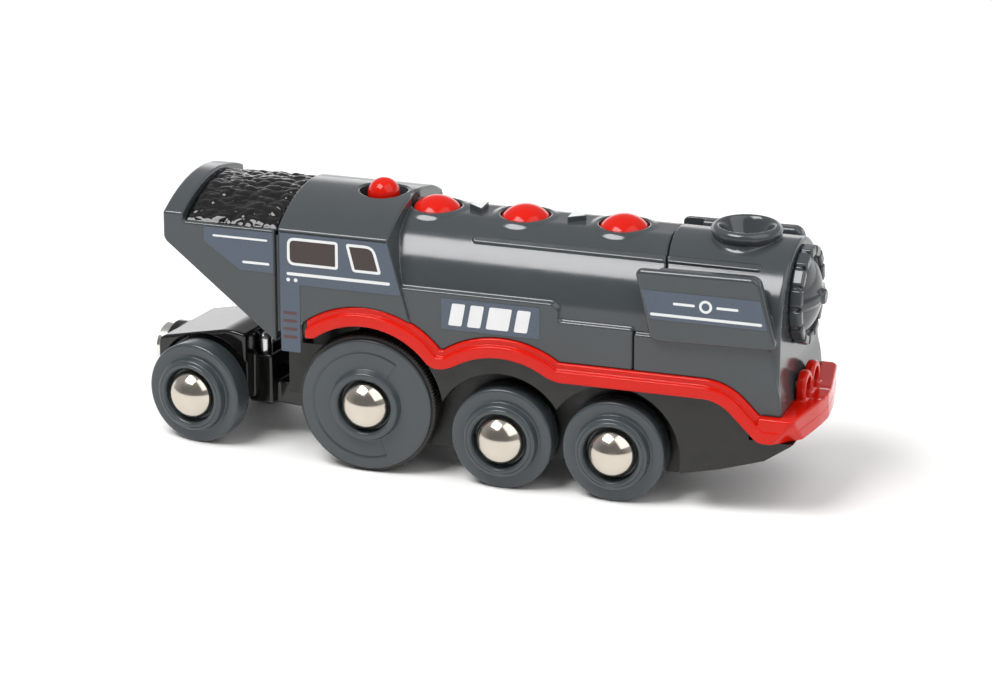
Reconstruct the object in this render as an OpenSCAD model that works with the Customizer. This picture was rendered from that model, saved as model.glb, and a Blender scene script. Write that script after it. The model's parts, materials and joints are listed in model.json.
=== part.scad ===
// Toy steam locomotive for wooden railways: moulded shells on a running board, a geared
// driving wheelset, two free wheelsets and a swivelling rear truck with a magnet coupling.
// Millimetres. X runs forward, Y to the left side, Z up. The origin is on the ground,
// under the middle of the locomotive.

/* [Wheels] */
// Radius of the six small wheels
wheel_r = 10; // [9.6:0.1:10]
// Radius over the tyres of the driving wheels
drive_r = 13.84; // [13.5:0.02:13.9]
// Position of the driving axle along the locomotive
drive_x = -18.8; // [-19:0.1:-18.6]
// Position of the middle axle
middle_x = 8.2; // [8:0.1:8.6]
// Position of the front axle
front_x = 30.2; // [30:0.1:30.6]
// Distance of the inner wheel faces from the centre line
wheel_in = 10.6; // [10.4:0.1:10.8]
// Distance of the outer wheel faces from the centre line
wheel_out = 15.6; // [15.2:0.1:15.8]
// Axle radius
axle_r = 1.5; // [1.2:0.1:1.5]
// Radial clearance of an axle in its bearing
axle_play = 0.05; // [0.03:0.01:0.1]

/* [Body] */
// Boiler radius
boiler_r = 14.9; // [14.7:0.1:15]
// Height of the boiler's centre line
boiler_z = 35.4; // [35:0.1:35.8]
// Half width over the side tanks and the lower front panels
tank_y = 15.6; // [15.4:0.1:15.8]
// Half width of the cab
cab_y = 16.5; // [16.2:0.1:16.7]
// Half width of the tender
tender_y = 16.3; // [16:0.1:16.5]
// Height of the cab gutter
gutter_z = 47.5; // [47:0.1:48]
// Height of the cab roof on the centre line
roof_z = 52.1; // [51.8:0.1:52.4]
// Wall thickness of the shells
wall = 1.5; // [1.2:0.1:1.6]
// Half width over the running board
board_y = 17.2; // [17:0.1:17.4]

/* [Buttons] */
// Radius of the three dome buttons
button_r = 4.65; // [4.4:0.05:4.7]
// Positions of the three dome buttons
button_x = [-9.6, 8.1, 27.5];
// Position of the ball button
ball_x = -20.3; // [-20.6:0.1:-20]
// Radius of the ball
ball_r = 3.13; // [2.8:0.01:3.2]
// Travel of every button
travel = 1; // [0.6:0.1:1]

/* [Truck] */
// Swivel of the rear truck as it stands, in degrees
truck_yaw = -10.5; // [-14:0.5:14]
// Position of the truck pivot
pivot_x = -32.4; // [-33:0.1:-32]
// Distance from the pivot back to the truck axle
truck_axle = 21.5; // [21:0.1:21.6]
// Distance from the pivot back to the coupling face
coupling = 36.5; // [36:0.1:36.8]
// Half width of the truck box
truck_y = 9.5; // [9:0.1:9.5]

/* [Gears] */
// Gear module
gear_m = 0.5; // [0.5]
// Teeth on each small gear
small_teeth = 10; // [10]
// Teeth on the driving axle's gear
drive_teeth = 26; // [26]
// Teeth on the large wheel of the first compound gear
first_teeth = 28; // [28]
// Teeth on the large wheel of the second compound gear
second_teeth = 26; // [26]
// Face width of a gear
gear_w = 1.3; // [1:0.1:1.4]

/* [Hidden] */
$fn = 48;
eps = 0.02;
// How far an arc stands past the straight line that it runs into
lap = 0.03;
board_rise = 3.6;
face_rise = 2.4;
board_z = 23.1;
slope_x = 47.5;
slope_r = 8;
beam_z = 15.6;
beam_h = 5;
front_face = 61.8;
nose_x = 67.8;
seam_x = 33.8;
deck_z = 22.6;
skirt_y = 15.8;
core_y = 9.4;
cavity_y = 7.9;
arch_r = 13.2;
pcb_z = 41.6;
door_z = 39.7;
chimney_x = 51.25;
tender_x = -59.3;
cab_x = -36;

// Gear centres, from the driving axle up to the motor, each meshing with the next
mesh_gap = 0.08;
d1 = gear_m * (drive_teeth + small_teeth) / 2 + mesh_gap;
d2 = gear_m * (first_teeth + small_teeth) / 2 + mesh_gap;
d3 = gear_m * (second_teeth + small_teeth) / 2 + mesh_gap;
dir1 = 62;
dir2 = 22;
dir3 = 60;
gear0 = [drive_x, drive_r];
gear1 = gear0 + d1 * [cos(dir1), sin(dir1)];
gear2 = gear1 + d2 * [cos(dir2), sin(dir2)];
gear3 = gear2 + d3 * [cos(dir3), sin(dir3)];
// Layers of the gear train across the locomotive, as the face nearest the centre line
layer1 = 1.2;
layer2 = 3;
layer3 = 4.8;
plate_in = -0.4;
plate_out = 6.6;
plate_t = 1;
pin_r = 0.75;
motor_face = 2.6;
motor_l = 14.5;

// ---- general shapes ----

// Extrudes an outline drawn in X and Z across the locomotive, from y0 to y1
module across(y0, y1) {
  translate([0, y1, 0]) rotate([90, 0, 0]) linear_extrude(y1 - y0) children();
}

// Extrudes a cross-section drawn in Y and Z along the locomotive, from x0 to x1
module along(x0, x1) {
  translate([x0, 0, 0]) rotate([90, 0, 90]) linear_extrude(x1 - x0) children();
}

// A block that is symmetrical about the centre line
module block(x0, x1, y, z0, z1) {
  translate([x0, -y, z0]) cube([x1 - x0, 2 * y, z1 - z0]);
}

// A rod across the locomotive, centred at x and z
module cross_rod(x, z, r, y0, y1) {
  translate([x, y1, z]) rotate([90, 0, 0]) cylinder(r = r, h = y1 - y0);
}

module both_sides() {
  children();
  mirror([0, 1, 0]) children();
}

module on_truck() {
  translate([pivot_x, 0, 0]) rotate([0, 0, truck_yaw]) children();
}

// ---- running board line ----

// Everything under the running board's wavy line, raised by t
module under_line(t) {
  translate([drive_x, drive_r]) circle(r = 16.1 + t);
  translate([middle_x, wheel_r]) circle(r = 16.6 + t);
  translate([-30.4, 0]) square([slope_x + 30.4, board_z + t]);
  translate([slope_x, board_z - slope_r]) circle(r = slope_r + t + lap);
  translate([slope_x, board_z - slope_r]) rotate(45)
    translate([0, -30]) square([slope_r + t, 30]);
  translate([slope_x, 0]) square([nose_x - slope_x + 2, beam_z + (t > 0 ? beam_h : 0)]);
}

// The stripe between the lower line and the line raised by t, cut square at its rear end
module board_stripe(t) {
  intersection() {
    difference() {
      under_line(t);
      under_line(0);
    }
    translate([-30.4, 0]) square([nose_x + 40, 60]);
  }
}

// The plan of the board, y half wide, with its bowed nose
module board_plan(y) {
  polygon([
    [-31, -y], [64.4, -y], [65.3, -y + 0.9], [nose_x - 0.3, -5], [nose_x, -3.5],
    [nose_x, 3.5], [nose_x - 0.3, 5], [65.3, y - 0.9], [64.4, y], [-31, y]
  ]);
}

module running_board() {
  color([0.86, 0.1, 0.06]) {
    difference() {
      union() {
        intersection() {
          across(-20, 20) board_stripe(face_rise);
          linear_extrude(60) board_plan(board_y);
        }
        intersection() {
          across(-20, 20) board_stripe(board_rise);
          linear_extrude(60) board_plan(board_y - 1);
        }
      }
      block(-40, front_face + 0.1, skirt_y - 0.8, 0, 60);
      // the rear end stops short of the arch's foot
      block(-40, -27.75, 30, 0, 26.5);
      // the nose is chamfered below its corners
      both_sides() nose_chamfer();
    }
    for (side = [-1, 1]) translate([0, side * lug_y, 0]) lamp_lug();
  }
}

// What is cut from under a corner of the nose
module nose_chamfer() {
  translate([65.3, -board_y, beam_z + beam_h]) rotate([0, 30, -45]) translate([0, -15, -15])
    cube([10, 30, 30]);
}

lug_front = 64.6;
lug_y = 2.9;
lug_depth = 1.9;
lug_r = 3.2;
lug_z = 22.5;
lens_r = 1.9;
lens_x = 63.2;
module lamp_lug() {
  difference() {
    union() {
      translate([lug_front - lug_depth, 0, lug_z]) rotate([0, 90, 0])
        cylinder(r = lug_r, h = lug_depth);
      translate([lug_front - lug_depth, -lug_r, beam_z + 4])
        cube([lug_depth, 2 * lug_r, lug_z - beam_z - 4]);
    }
    translate([lens_x, 0, lug_z]) rotate([0, 90, 0]) cylinder(r = lens_r, h = 3);
    translate([lug_front - lug_depth - 1, 0, lug_z]) rotate([0, 90, 0])
      cylinder(r = 1.2, h = 5);
  }
}

module lamp_lenses() {
  color([0.2, 0.05, 0.05])
    for (side = [-1, 1]) translate([lens_x, side * lug_y, lug_z]) rotate([0, 90, 0])
      cylinder(r = lens_r, h = 0.7);
}

module lamp_leds() {
  color([0.9, 0.9, 0.8])
    for (side = [-1, 1]) translate([61.4, side * lug_y, lug_z]) rotate([0, 90, 0])
      cylinder(r = 1, h = 1.7);
}

// ---- chassis ----

// The side skirt below the board: arches over the wheels and an apron that sweeps up in front
module skirt_outline() {
  intersection() {
    difference() {
      under_line(0);
      translate([drive_x, drive_r]) circle(r = 15.6);
      translate([middle_x, wheel_r]) circle(r = arch_r);
      translate([front_x, wheel_r]) circle(r = arch_r);
      translate([-40, 0]) square([front_x + 40, 14]);
      translate([front_x, 0]) square([arch_r - 0.1, 11]);
    }
    polygon([
      [-6, 14], [front_x + arch_r, 7.4], [51.5, 9.3], [59.5, 11.8], [64.2, 15],
      [66, 16.4], [66, 40], [-6, 40]
    ]);
  }
}

module chassis_frame() {
  color([0.12, 0.12, 0.11]) difference() {
    union() {
      difference() {
        intersection() {
          across(-skirt_y, skirt_y) skirt_outline();
          linear_extrude(60) board_plan(board_y - 1.3);
        }
        block(-60, 60, skirt_y - 1.6, deck_z, 60);
      }
      block(-27.6, 45, core_y, 5, deck_z);
      block(-36.6, -26.2, core_y, 12.2, deck_z);
      block(-8, 56, core_y, 18, deck_z);
    }
    // hollow for the gears, and the trough forward of it
    block(-26.2, 20, cavity_y, 6.6, 40);
    block(23.5, 42, cavity_y, 6.6, 40);
    // the core's lower front edge is bevelled off
    across(-20, 20) polygon([[41, 4], [41, 5], [45.1, 7.4], [50, 7.4], [50, 4]]);
    // hollow behind the apron
    block(45, 58, cavity_y + 4, 0, 18);
    block(45, 56, cavity_y + 4, 0, deck_z - 1.6);
    // room for the front shell's nose above the bumper beam
    block(56.5, 70, 20, beam_z + 0.1, 60);
    for (x = [middle_x, front_x])
      cross_rod(x, wheel_r, axle_r + axle_play, -20, 20);
    cross_rod(drive_x, drive_r, axle_r + axle_play, -20, 20);
    // pivot screw, body screws and gearbox screws
    translate([pivot_x, 0, 0]) cylinder(r = pivot_thread_r, h = 20);
    for (side = [-1, 1]) screw_hole(body_screw[0], side * body_screw[1], body_screw_z);
    screw_hole(front_screw_x, 0, front_screw_z);
    screw_hole(gearbox_screw[0], gearbox_screw[1], gearbox_screw_z);
  }
}

// ---- body shells ----

module boiler_section(r) {
  translate([0, boiler_z]) circle(r = r);
  translate([lap - r, 0]) square([2 * (r - lap), boiler_z]);
}

// A roof section: straight sides up to the eaves and one shallow arc over the top
module roof_section(y, eaves, top) {
  rise = top - eaves;
  arc_r = ((y + lap) * (y + lap) + rise * rise) / (2 * rise);
  intersection() {
    translate([-y, 0]) square([2 * y, 60]);
    union() {
      translate([-y, 0]) square([2 * y, eaves]);
      translate([0, top - arc_r]) circle(r = arc_r);
    }
  }
}

cab_front_top = -14.4;
cab_front_gutter = -13.9;
cab_front_foot = -8.6;
cab_strip_x = -31.6;
module cab_side(inset) {
  polygon([
    [cab_x + inset, 10], [cab_front_foot - inset, 10], [cab_front_foot - inset, 28],
    [cab_front_gutter - inset, gutter_z], [cab_front_top - inset, 60], [cab_x + inset, 60]
  ]);
}

// The hollow under a shell: everything below the running board's top
module rear_shell() {
  color([0.25, 0.27, 0.29]) {
    rear_shell_body();
    ridge_arrow(0, -1);
    ridge_arrow(17, 1);
  }
}

// A raised arrowhead on the flat ridge, its base at x
module ridge_arrow(x, way) {
  translate([x, 0, flat_z - 0.5]) linear_extrude(1.53)
    polygon([[0, -2.3], [3.1 * way, 0], [0, 2.3]]);
}

module rear_shell_body() {
  difference() {
    union() {
      difference() {
        union() {
          along(-20, 40) boiler_section(boiler_r);
          block(-16, 19.4, tank_y, 20, 38.2);
          block(-16, 34, tank_y, 20, 34.85);
          intersection() {
            along(cab_x, 0) roof_section(cab_y, gutter_z, roof_z);
            across(-20, 20) cab_side(0);
          }
        }
        along(-34.5, 50) boiler_section(boiler_r - wall);
        block(-34.5, 17.9, tank_y - wall, 0, 38.2 - wall);
        block(-34.5, 40, tank_y - wall, 0, 34.85 - wall);
        intersection() {
          along(cab_x + wall, 0) roof_section(cab_y - wall, gutter_z - wall, roof_z - wall);
          across(-20, 20) cab_side(wall);
        }
      }
      // seats round the dome buttons
      for (x = button_x) translate([x, 0, flange_z + 0.05]) cylinder(r = seat_r, h = 2.6);
      // well of the ball button
      translate([ball_x, 0, 45.9]) cylinder(r = 5.4, h = 5);
      // posts for the body screws, and those that hold the circuit board
      for (side = [-1, 1]) {
        translate([body_screw[0], side * body_screw[1], deck_z]) cylinder(r = 2.3, h = 16);
        for (x = [-1, 18]) translate([x, side * 7, pcb_z + 1]) cylinder(r = 1.4, h = 5);
      }
    }
    // flat along the top between the buttons
    difference() {
      block(cab_front_top + 0.3, 40, 5, flat_z, 51);
      for (x = button_x) translate([x, 0, 40]) cylinder(r = seat_r, h = 20);
    }
    across(-30, 30) under_line(board_rise);
    translate([cab_strip_x, -30, 0]) cube([10, 60, 29]);
    block(-60, 60, 30, 0, deck_z);
    for (side = [-1, 1]) translate([body_screw[0], side * body_screw[1], 0])
      cylinder(r = screw_r, h = body_screw_z + body_screw_l);
    for (x = button_x) translate([x, 0, 40]) cylinder(r = button_r + 0.15, h = 20);
    translate([ball_x, 0, 46.9]) cylinder(r = 4.7, h = 10);
    translate([ball_x, 0, 40]) cylinder(r = 1.7, h = 10);
    front_cut(0);
  }
}

// The region that belongs to the front shell, set back by gap
module front_cut(gap) {
  across(-30, 30) polygon([
    [seam_x - gap, 0], [seam_x - gap, 34.4], [38.6 - gap, 34.4], [38.6 - gap, 46],
    [37.4 - gap, 51], [37.4 - gap, 60], [90, 60], [90, 0]
  ]);
}

wing_y = 17.1;
wing = [[34.3, 47.2], [58, 47.6], [61.7, 33.9], [37.6, 33.3]];
module front_shell() {
  color([0.25, 0.27, 0.29]) {
    difference() {
      union() {
        difference() {
          union() {
            along(30, front_face) boiler_section(boiler_r);
            across(-tank_y, tank_y) polygon([
              [30, 20], [62.6, 20], [62.6, 22.2], [60, 33.4], [60, 34], [30, 34]
            ]);
          }
          along(0, front_face - wall) boiler_section(boiler_r - wall);
          across(-tank_y + wall, tank_y - wall) polygon([
            [0, 0], [60.8, 0], [60.8, 22], [58.4, 32.5], [0, 32.5]
          ]);
        }
        translate([chimney_x, 0, 47]) cylinder(r1 = 7.7, r2 = 5.9, h = 3);
        translate([chimney_x, 0, 49.9]) cylinder(r = 6, h = 1.3);
        translate([chimney_x, 0, 51.2]) rotate_extrude() translate([5.55, 0]) circle(r = 1.2);
        translate([chimney_x, 0, 49.9]) cylinder(r = 5.6, h = 1.9);
      }
      translate([chimney_x, 0, 48.3]) cylinder(r1 = 3.2, r2 = 5.4, h = 5);
      across(-30, 30) under_line(board_rise);
      block(0, 90, 30, 0, beam_z + beam_h);
      difference() {
        block(0, 90, 30, 0, 60);
        front_cut(-0.25);
      }
      // windows for the lamps
      for (side = [-1, 1]) translate([60, side * lug_y, lug_z]) rotate([0, 90, 0])
        cylinder(r = 1.15, h = 4);
    }
    difference() {
      union() {
        translate([front_screw_x, 0, beam_z + 0.1]) cylinder(r = 2, h = 17);
        block(front_screw_x, front_face - 0.5, 1.6, beam_z + beam_h, 33);
      }
      translate([front_screw_x, 0, 0]) cylinder(r = screw_r, h = front_screw_z + front_screw_l);
    }
    both_sides() difference() {
      across(-wing_y, -14.2) polygon(wing);
      block(30, 38.85, boiler_r + 0.15, 30, 60);
    }
  }
}

// ---- tender ----

band_x = -55.2;
seam_gap = 0.6;
module tender_side(inset) {
  polygon([
    [tender_x + inset, 60], [tender_x + inset, 43 + inset * 0.4], [-49.4, 34.7 + inset * 1.2],
    [-36.5 - inset, 24.4 + inset * 1.9], [cab_x - inset, 24.4 + inset * 1.9],
    [cab_x - inset, 60]
  ]);
}

bed_z = 47.1;
module tender_shell() {
  color([0.25, 0.27, 0.29]) difference() {
    union() {
      intersection() {
        along(tender_x, cab_x - seam_gap) roof_section(tender_y, 48.9, 52.8);
        across(-20, 20) tender_side(0);
      }
      block(-38, cab_x, tender_y - 1, 27, 45);
    }
    block(band_x, 0, 30, bed_z, 60);
    intersection() {
      block(-80, 0, tender_y - wall, 0, bed_z - wall);
      across(-20, 20) tender_side(wall);
      // rib under the speaker
      union() {
        block(-80, -40, 30, 0, 60);
        block(-38.9, 0, 30, 0, 60);
        block(-80, 0, 30, 42.6, 60);
      }
    }
  }
}

// Lumps of coal: a curved bed with blocks scattered over it
module coal_load() {
  color([0.06, 0.06, 0.06]) {
    intersection() {
      along(band_x + eps, cab_x - eps) roof_section(tender_y - 0.6, 48, 52);
      block(-70, 0, 20, bed_z, 60);
    }
    for (i = [0:6], j = [-4:4]) {
      y = j * 3.4 + (i % 2) * 0.7;
      z = 52 - 4 * y * y / (15.7 * 15.7);
      translate([band_x + 1.9 + i * 2.55, y, z - 0.35]) rotate([-7 * j, 4 * (i - 3), 0])
        cube([1.9, 2.5, 1.6], center = true);
    }
  }
}

// ---- smokebox door ----

module smokebox_door() {
  color([0.25, 0.27, 0.29]) translate([front_face, 0, door_z]) {
    rotate([0, 90, 0]) {
      cylinder(r = 9, h = 1.6);
      translate([0, 0, 1.5]) cylinder(r1 = 8.2, r2 = 6.9, h = 1.3);
      translate([0, 0, 2.7]) cylinder(r1 = 7, r2 = 4, h = 1.3);
      translate([0, 0, 3.9]) cylinder(r = 1.6, h = 1.1);
    }
    for (k = [0:13]) rotate([k * 360 / 14, 0, 0]) translate([0, -1.65, 7.3]) cube([2.6, 3.3, 2.1]);
    translate([1.5, -7.9, -0.9]) cube([1.9, 15.8, 1.6]);
  }
}

// ---- labels ----

label_t = 0.12;
module side_labels() {
  color([0.27, 0.31, 0.38]) both_sides() {
    across(-tender_y - label_t, -tender_y)
      polygon([[-51, 46.6], [-36.6, 46.6], [-36.6, 38.6], [-43.4, 38.6]]);
    across(-cab_y - label_t, -cab_y) polygon([
      [-35.9, 47.2], [-14.2, 47.2], [-11.1, 37.2], [-31.6, 37.2], [-31.6, 23.2], [-35.9, 23.2]
    ]);
    across(-tank_y - label_t, -tank_y) translate([-3.6, 30.7]) square([19.4, 6.6]);
    across(-wing_y - label_t, -wing_y)
      polygon([[35.3, 43.6], [58.6, 43.6], [60.1, 37.7], [36.9, 37.7]]);
  }
}

// ---- battery bay, electronics ----

cell_r = 5.25;
cell_l = 44.5;
cell_x = 10.9;
cell_y = 5.5;
cell_z = 29.1;
module battery_tray() {
  color([0.16, 0.16, 0.16]) difference() {
    block(8.9, 56.9, 12, deck_z, 28.6);
    block(9.9, 55.9, 11.2, 23.7, 40);
  }
}

module battery_cells() {
  color([0.2, 0.45, 0.3]) for (side = [-1, 1])
    translate([cell_x, side * cell_y, cell_z]) rotate([0, 90, 0]) {
      cylinder(r = cell_r, h = cell_l - 1);
      translate([0, 0, side > 0 ? -0.5 : cell_l - 1.1]) cylinder(r = 1.9, h = 0.6);
    }
}

module battery_contacts() {
  color([0.8, 0.8, 0.78]) {
    for (side = [-1, 1]) {
      translate([9.9, side * cell_y - 3, 24.5]) cube([0.4, 6, 8]);
      translate([55.5, side * cell_y - 3, 24.5]) cube([0.4, 6, 8]);
    }
    translate([55.5, -3, 24.5]) cube([0.4, 6, 2]);
  }
}

board_x0 = -24.5;
board_x1 = 32;
module circuit_board() {
  color([0.1, 0.35, 0.2]) difference() {
    block(board_x0, board_x1, 9, pcb_z, pcb_z + 1);
    translate([-30, -10, pcb_z - 1]) cube([7, 3.5, 4]);
  }
}

module button_switches() {
  color([0.15, 0.15, 0.16]) for (x = concat([ball_x], button_x)) translate([x, 0, pcb_z + 1]) {
    translate([-2.25, -2.25, 0]) cube([4.5, 4.5, 1]);
    cylinder(r = 1, h = 1.3);
  }
}

module speaker() {
  color([0.3, 0.3, 0.32]) translate([-46.9, 0, 42.65]) {
    difference() {
      cylinder(r = 9, h = 2.6);
      translate([0, 0, 1.8]) cylinder(r = 7.6, h = 3);
    }
    translate([0, 0, 1.7]) cylinder(r1 = 4, r2 = 1, h = 0.7);
    translate([-9.4, -1.5, 0.6]) cube([1.6, 3, 1.4]);
  }
}

// ---- buttons ----

flange_z = 47.3;
seat_r = 5.9;
flat_z = 49.87;
dome_z = 49.5;
dome_h = 2.3;
module dome_button(x) {
  cap_r = (button_r * button_r + dome_h * dome_h) / (2 * dome_h);
  color([0.9, 0.1, 0.06]) translate([x, 0, 0]) {
    translate([0, 0, flange_z + 0.2]) cylinder(r = button_r, h = dome_z - flange_z - 0.2 + eps);
    translate([0, 0, dome_z]) intersection() {
      cylinder(r = button_r, h = dome_h + 1);
      translate([0, 0, dome_h - cap_r]) sphere(r = cap_r);
    }
    translate([0, 0, flange_z - 0.9]) cylinder(r = 5.15, h = 0.9);
    translate([0, 0, flange_z - 0.1]) cylinder(r = button_r - 0.6, h = 0.4);
    translate([0, 0, pcb_z + 3.4]) cylinder(r = 1.3, h = 3);
  }
}

module forward_button() { dome_button(button_x[2]); }
module stop_button() { dome_button(button_x[1]); }
module reverse_button() { dome_button(button_x[0]); }

ball_z = 51.2;
module whistle_button() {
  color([0.9, 0.1, 0.06]) translate([ball_x, 0, 0]) {
    translate([0, 0, ball_z]) sphere(r = ball_r);
    translate([0, 0, 45]) cylinder(r = 1.6, h = ball_z - 45);
    translate([0, 0, 45]) cylinder(r = 2.4, h = 0.8);
  }
}

// ---- gear train ----

press_deg = 25;
addendum = 0.8;
dedendum = 1.1;
backlash = 0.05;
// A point on the involute of a base circle of radius rb, at radius r
function involute_deg(rb, r) = let (roll = sqrt(max(0, r * r / (rb * rb) - 1)))
  roll * 180 / PI - atan(roll);
// Half the angle of a tooth at radius r
function half_tooth(n, r) = let (rp = gear_m * n / 2, rb = rp * cos(press_deg))
  90 / n - backlash / rp * 180 / PI / 2
  + involute_deg(rb, rp) - involute_deg(rb, max(r, rb));
function polar(r, a) = [r * cos(a), r * sin(a)];

// A spur gear with a tooth centred on the direction phase
module spur(n, phase) {
  rp = gear_m * n / 2;
  tip = rp + addendum * gear_m;
  root = rp - dedendum * gear_m;
  levels = [for (k = [0:4]) root + (tip - root) * k / 4];
  polygon([for (i = [0:n - 1]) let (c = phase + 360 * i / n) each concat(
    [for (r = levels) polar(r, c - half_tooth(n, r))],
    [for (k = [4:-1:0]) polar(levels[k], c + half_tooth(n, levels[k]))])]);
}

// Phase of a gear with n teeth, so that it meshes with a gear of n0 teeth at phase0 in direction dir
function mesh_phase(n0, phase0, n, dir) =
  dir + 180 + (360 / n) * (0.5 + (dir - phase0) * n0 / 360);

phase_drive = 0;
phase_first = mesh_phase(drive_teeth, phase_drive, small_teeth, dir1);
phase_second = mesh_phase(first_teeth, phase_first, small_teeth, dir2);
phase_motor = mesh_phase(second_teeth, phase_second, small_teeth, dir3);

module gear_at(centre, y, n, phase, bore) {
  translate([centre[0], 0, centre[1]]) across(y, y + gear_w) difference() {
    spur(n, phase);
    circle(r = bore);
  }
}

module drive_gear() {
  color([0.85, 0.83, 0.75]) difference() {
    union() {
      gear_at(gear0, layer1, drive_teeth, phase_drive, axle_r);
      cross_rod(gear0[0], gear0[1], 2.6, layer1 + gear_w - eps, layer2 - 0.15);
    }
    cross_rod(gear0[0], gear0[1], axle_r, 0, 10);
  }
}

module compound(centre, y, large, large_phase, small_phase) {
  color([0.85, 0.83, 0.75]) difference() {
    union() {
      gear_at(centre, y, small_teeth, small_phase, pin_r + axle_play);
      gear_at(centre, y + layer2 - layer1, large, large_phase, pin_r + axle_play);
      cross_rod(centre[0], centre[1], 1.8, y + gear_w - eps, y + layer2 - layer1 + eps);
    }
    cross_rod(centre[0], centre[1], pin_r + axle_play, -5, 10);
  }
}

module first_gear() { compound(gear1, layer1, first_teeth, phase_first, phase_first); }
module second_gear() { compound(gear2, layer2, second_teeth, phase_second, phase_second); }

module motor_pinion() {
  color([0.8, 0.65, 0.3]) {
    gear_at(gear3, layer3, small_teeth, phase_motor, 0.5);
    cross_rod(gear3[0], gear3[1], 0.5, motor_face + 0.9, layer3 + gear_w + 0.2);
  }
}

module drive_motor() {
  color([0.75, 0.75, 0.76]) difference() {
    union() {
      translate([gear3[0] - 6, motor_face - motor_l, gear3[1] - 5]) cube([12, motor_l, 10]);
      cross_rod(gear3[0], gear3[1], 1.8, motor_face - eps, motor_face + 0.8);
    }
    cross_rod(gear3[0], gear3[1], 0.56, motor_face + 0.8 - 2, 20);
  }
}

module gear_pins() {
  color([0.8, 0.8, 0.82]) for (c = [gear1, gear2])
    cross_rod(c[0], c[1], pin_r, plate_in, plate_out + plate_t);
}

plate_outline = [
  [-25.6, 6.6], [-3.6, 6.6], [-3.6, 16], [4, 24], [9.4, 30.6], [9.4, 41], [-4.6, 41],
  [-12, 33], [-21.6, 30.5], [-25.6, 22]
];
spacers = [[-23, 26.6], [7.3, 30]];
module gearbox_plates() {
  color([0.2, 0.2, 0.2]) difference() {
    union() {
      for (y = [plate_in, plate_out]) across(y, y + plate_t) polygon(plate_outline);
      // spacers that join the plates, clear of every gear
      for (p = spacers) cross_rod(p[0], p[1], 1.4, plate_in, plate_out + plate_t);
      // foot on the chassis floor
      translate([gearbox_screw[0] - 2, plate_in, 6.6])
        cube([4, plate_out + plate_t - plate_in, 2.6]);
    }
    cross_rod(gear0[0], gear0[1], axle_r + 0.25, -5, 12);
    for (c = [gear1, gear2]) cross_rod(c[0], c[1], pin_r, -5, 12);
    cross_rod(gear3[0], gear3[1], 3.4, -5, 2);
    cross_rod(gear3[0], gear3[1], 0.8, 5, 12);
    translate([gear3[0] - 6, -5, gear3[1] - 5]) cube([12, 7.7, 10]);
    translate([gearbox_screw[0], gearbox_screw[1], 0]) cylinder(r = screw_r, h = 20);
  }
}

// ---- wheels ----

// Small wheel: tread with a rounded outer edge, raised hub ring and a recess for the cap.
// Drawn as radius against distance from the centre line.
module small_wheel(inner, outer, ring, x) {
  translate([x, 0, wheel_r]) rotate([90, 0, 0]) rotate_extrude() difference() {
    union() {
      translate([axle_r, inner]) square([wheel_r - 0.5 - axle_r, outer - inner]);
      translate([axle_r, inner + 0.4]) square([wheel_r - axle_r, outer - inner - 1]);
      translate([wheel_r - 0.7, outer - 0.7]) circle(r = 0.7);
      translate([axle_r, outer - eps])
        polygon([[0, 0], [7.6 - axle_r, 0], [6.9 - axle_r, ring - outer], [0, ring - outer]]);
    }
    translate([-eps, outer - 0.4]) square([5.4, 10]);
  }
}

// Domed cap pressed on the axle's end: a skirt from its seat out to its rim, and a dome on that
cap_r_hub = 4.7;
cap_sink = 0.6;
cap_rise = 2.8;
module hub_cap(x, z, seat, rim) {
  ball = (cap_r_hub * cap_r_hub + cap_rise * cap_rise) / (2 * cap_rise);
  translate([x, -seat, z]) rotate([90, 0, 0]) intersection() {
    cylinder(r = cap_r_hub, h = rim - seat + cap_rise + 1);
    translate([0, 0, rim - seat + cap_rise - ball]) sphere(r = ball);
  }
}

ring_y = 17.3;
module axle_rod(x) {
  color([0.8, 0.8, 0.82]) cross_rod(x, wheel_r, axle_r, 0.4 - wheel_out, wheel_out - 0.4);
}
module wheel_pair(x) {
  color([0.28, 0.31, 0.34]) both_sides() small_wheel(wheel_in, wheel_out, ring_y, x);
}
module cap_pair(x) {
  color([0.85, 0.82, 0.78]) both_sides()
    hub_cap(x, wheel_r, wheel_out - 0.4, ring_y - cap_sink);
}

module middle_axle() { axle_rod(middle_x); }
module middle_wheels() { wheel_pair(middle_x); }
module middle_hub_caps() { cap_pair(middle_x); }
module front_axle() { axle_rod(front_x); }
module front_wheels() { wheel_pair(front_x); }
module front_hub_caps() { cap_pair(front_x); }

tyre_in = 11;
tyre_out = 14.8;
tyre_seat = 12.6;
drive_ring = 17;
module drive_axle() {
  color([0.8, 0.8, 0.82]) cross_rod(drive_x, drive_r, axle_r, 0.6 - wheel_out, wheel_out - 0.6);
}
module drive_wheels() {
  color([0.28, 0.31, 0.34]) both_sides() translate([drive_x, 0, drive_r]) rotate([90, 0, 0])
    rotate_extrude() difference() {
      union() {
        translate([axle_r, wheel_in]) square([13.3 - axle_r, wheel_out - wheel_in - 0.4]);
        translate([axle_r, wheel_in]) square([12.9 - axle_r, wheel_out - wheel_in]);
        polygon([
          [axle_r, 15], [7.1, 15], [7.1, wheel_out], [6.6, drive_ring], [axle_r, drive_ring]
        ]);
      }
      translate([tyre_seat, tyre_in]) square([5, tyre_out - tyre_in]);
      translate([-eps, wheel_out - 0.6]) square([5.2, 10]);
    }
}
module drive_tyres() {
  color([0.1, 0.1, 0.1]) both_sides() translate([drive_x, 0, drive_r]) rotate([90, 0, 0])
    rotate_extrude() translate([tyre_seat, tyre_in]) square([drive_r - tyre_seat, tyre_out - tyre_in]);
}
module drive_hub_caps() {
  color([0.85, 0.82, 0.78]) both_sides()
    hub_cap(drive_x, drive_r, wheel_out - 0.6, drive_ring - cap_sink);
}

// ---- rear truck ----

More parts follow.
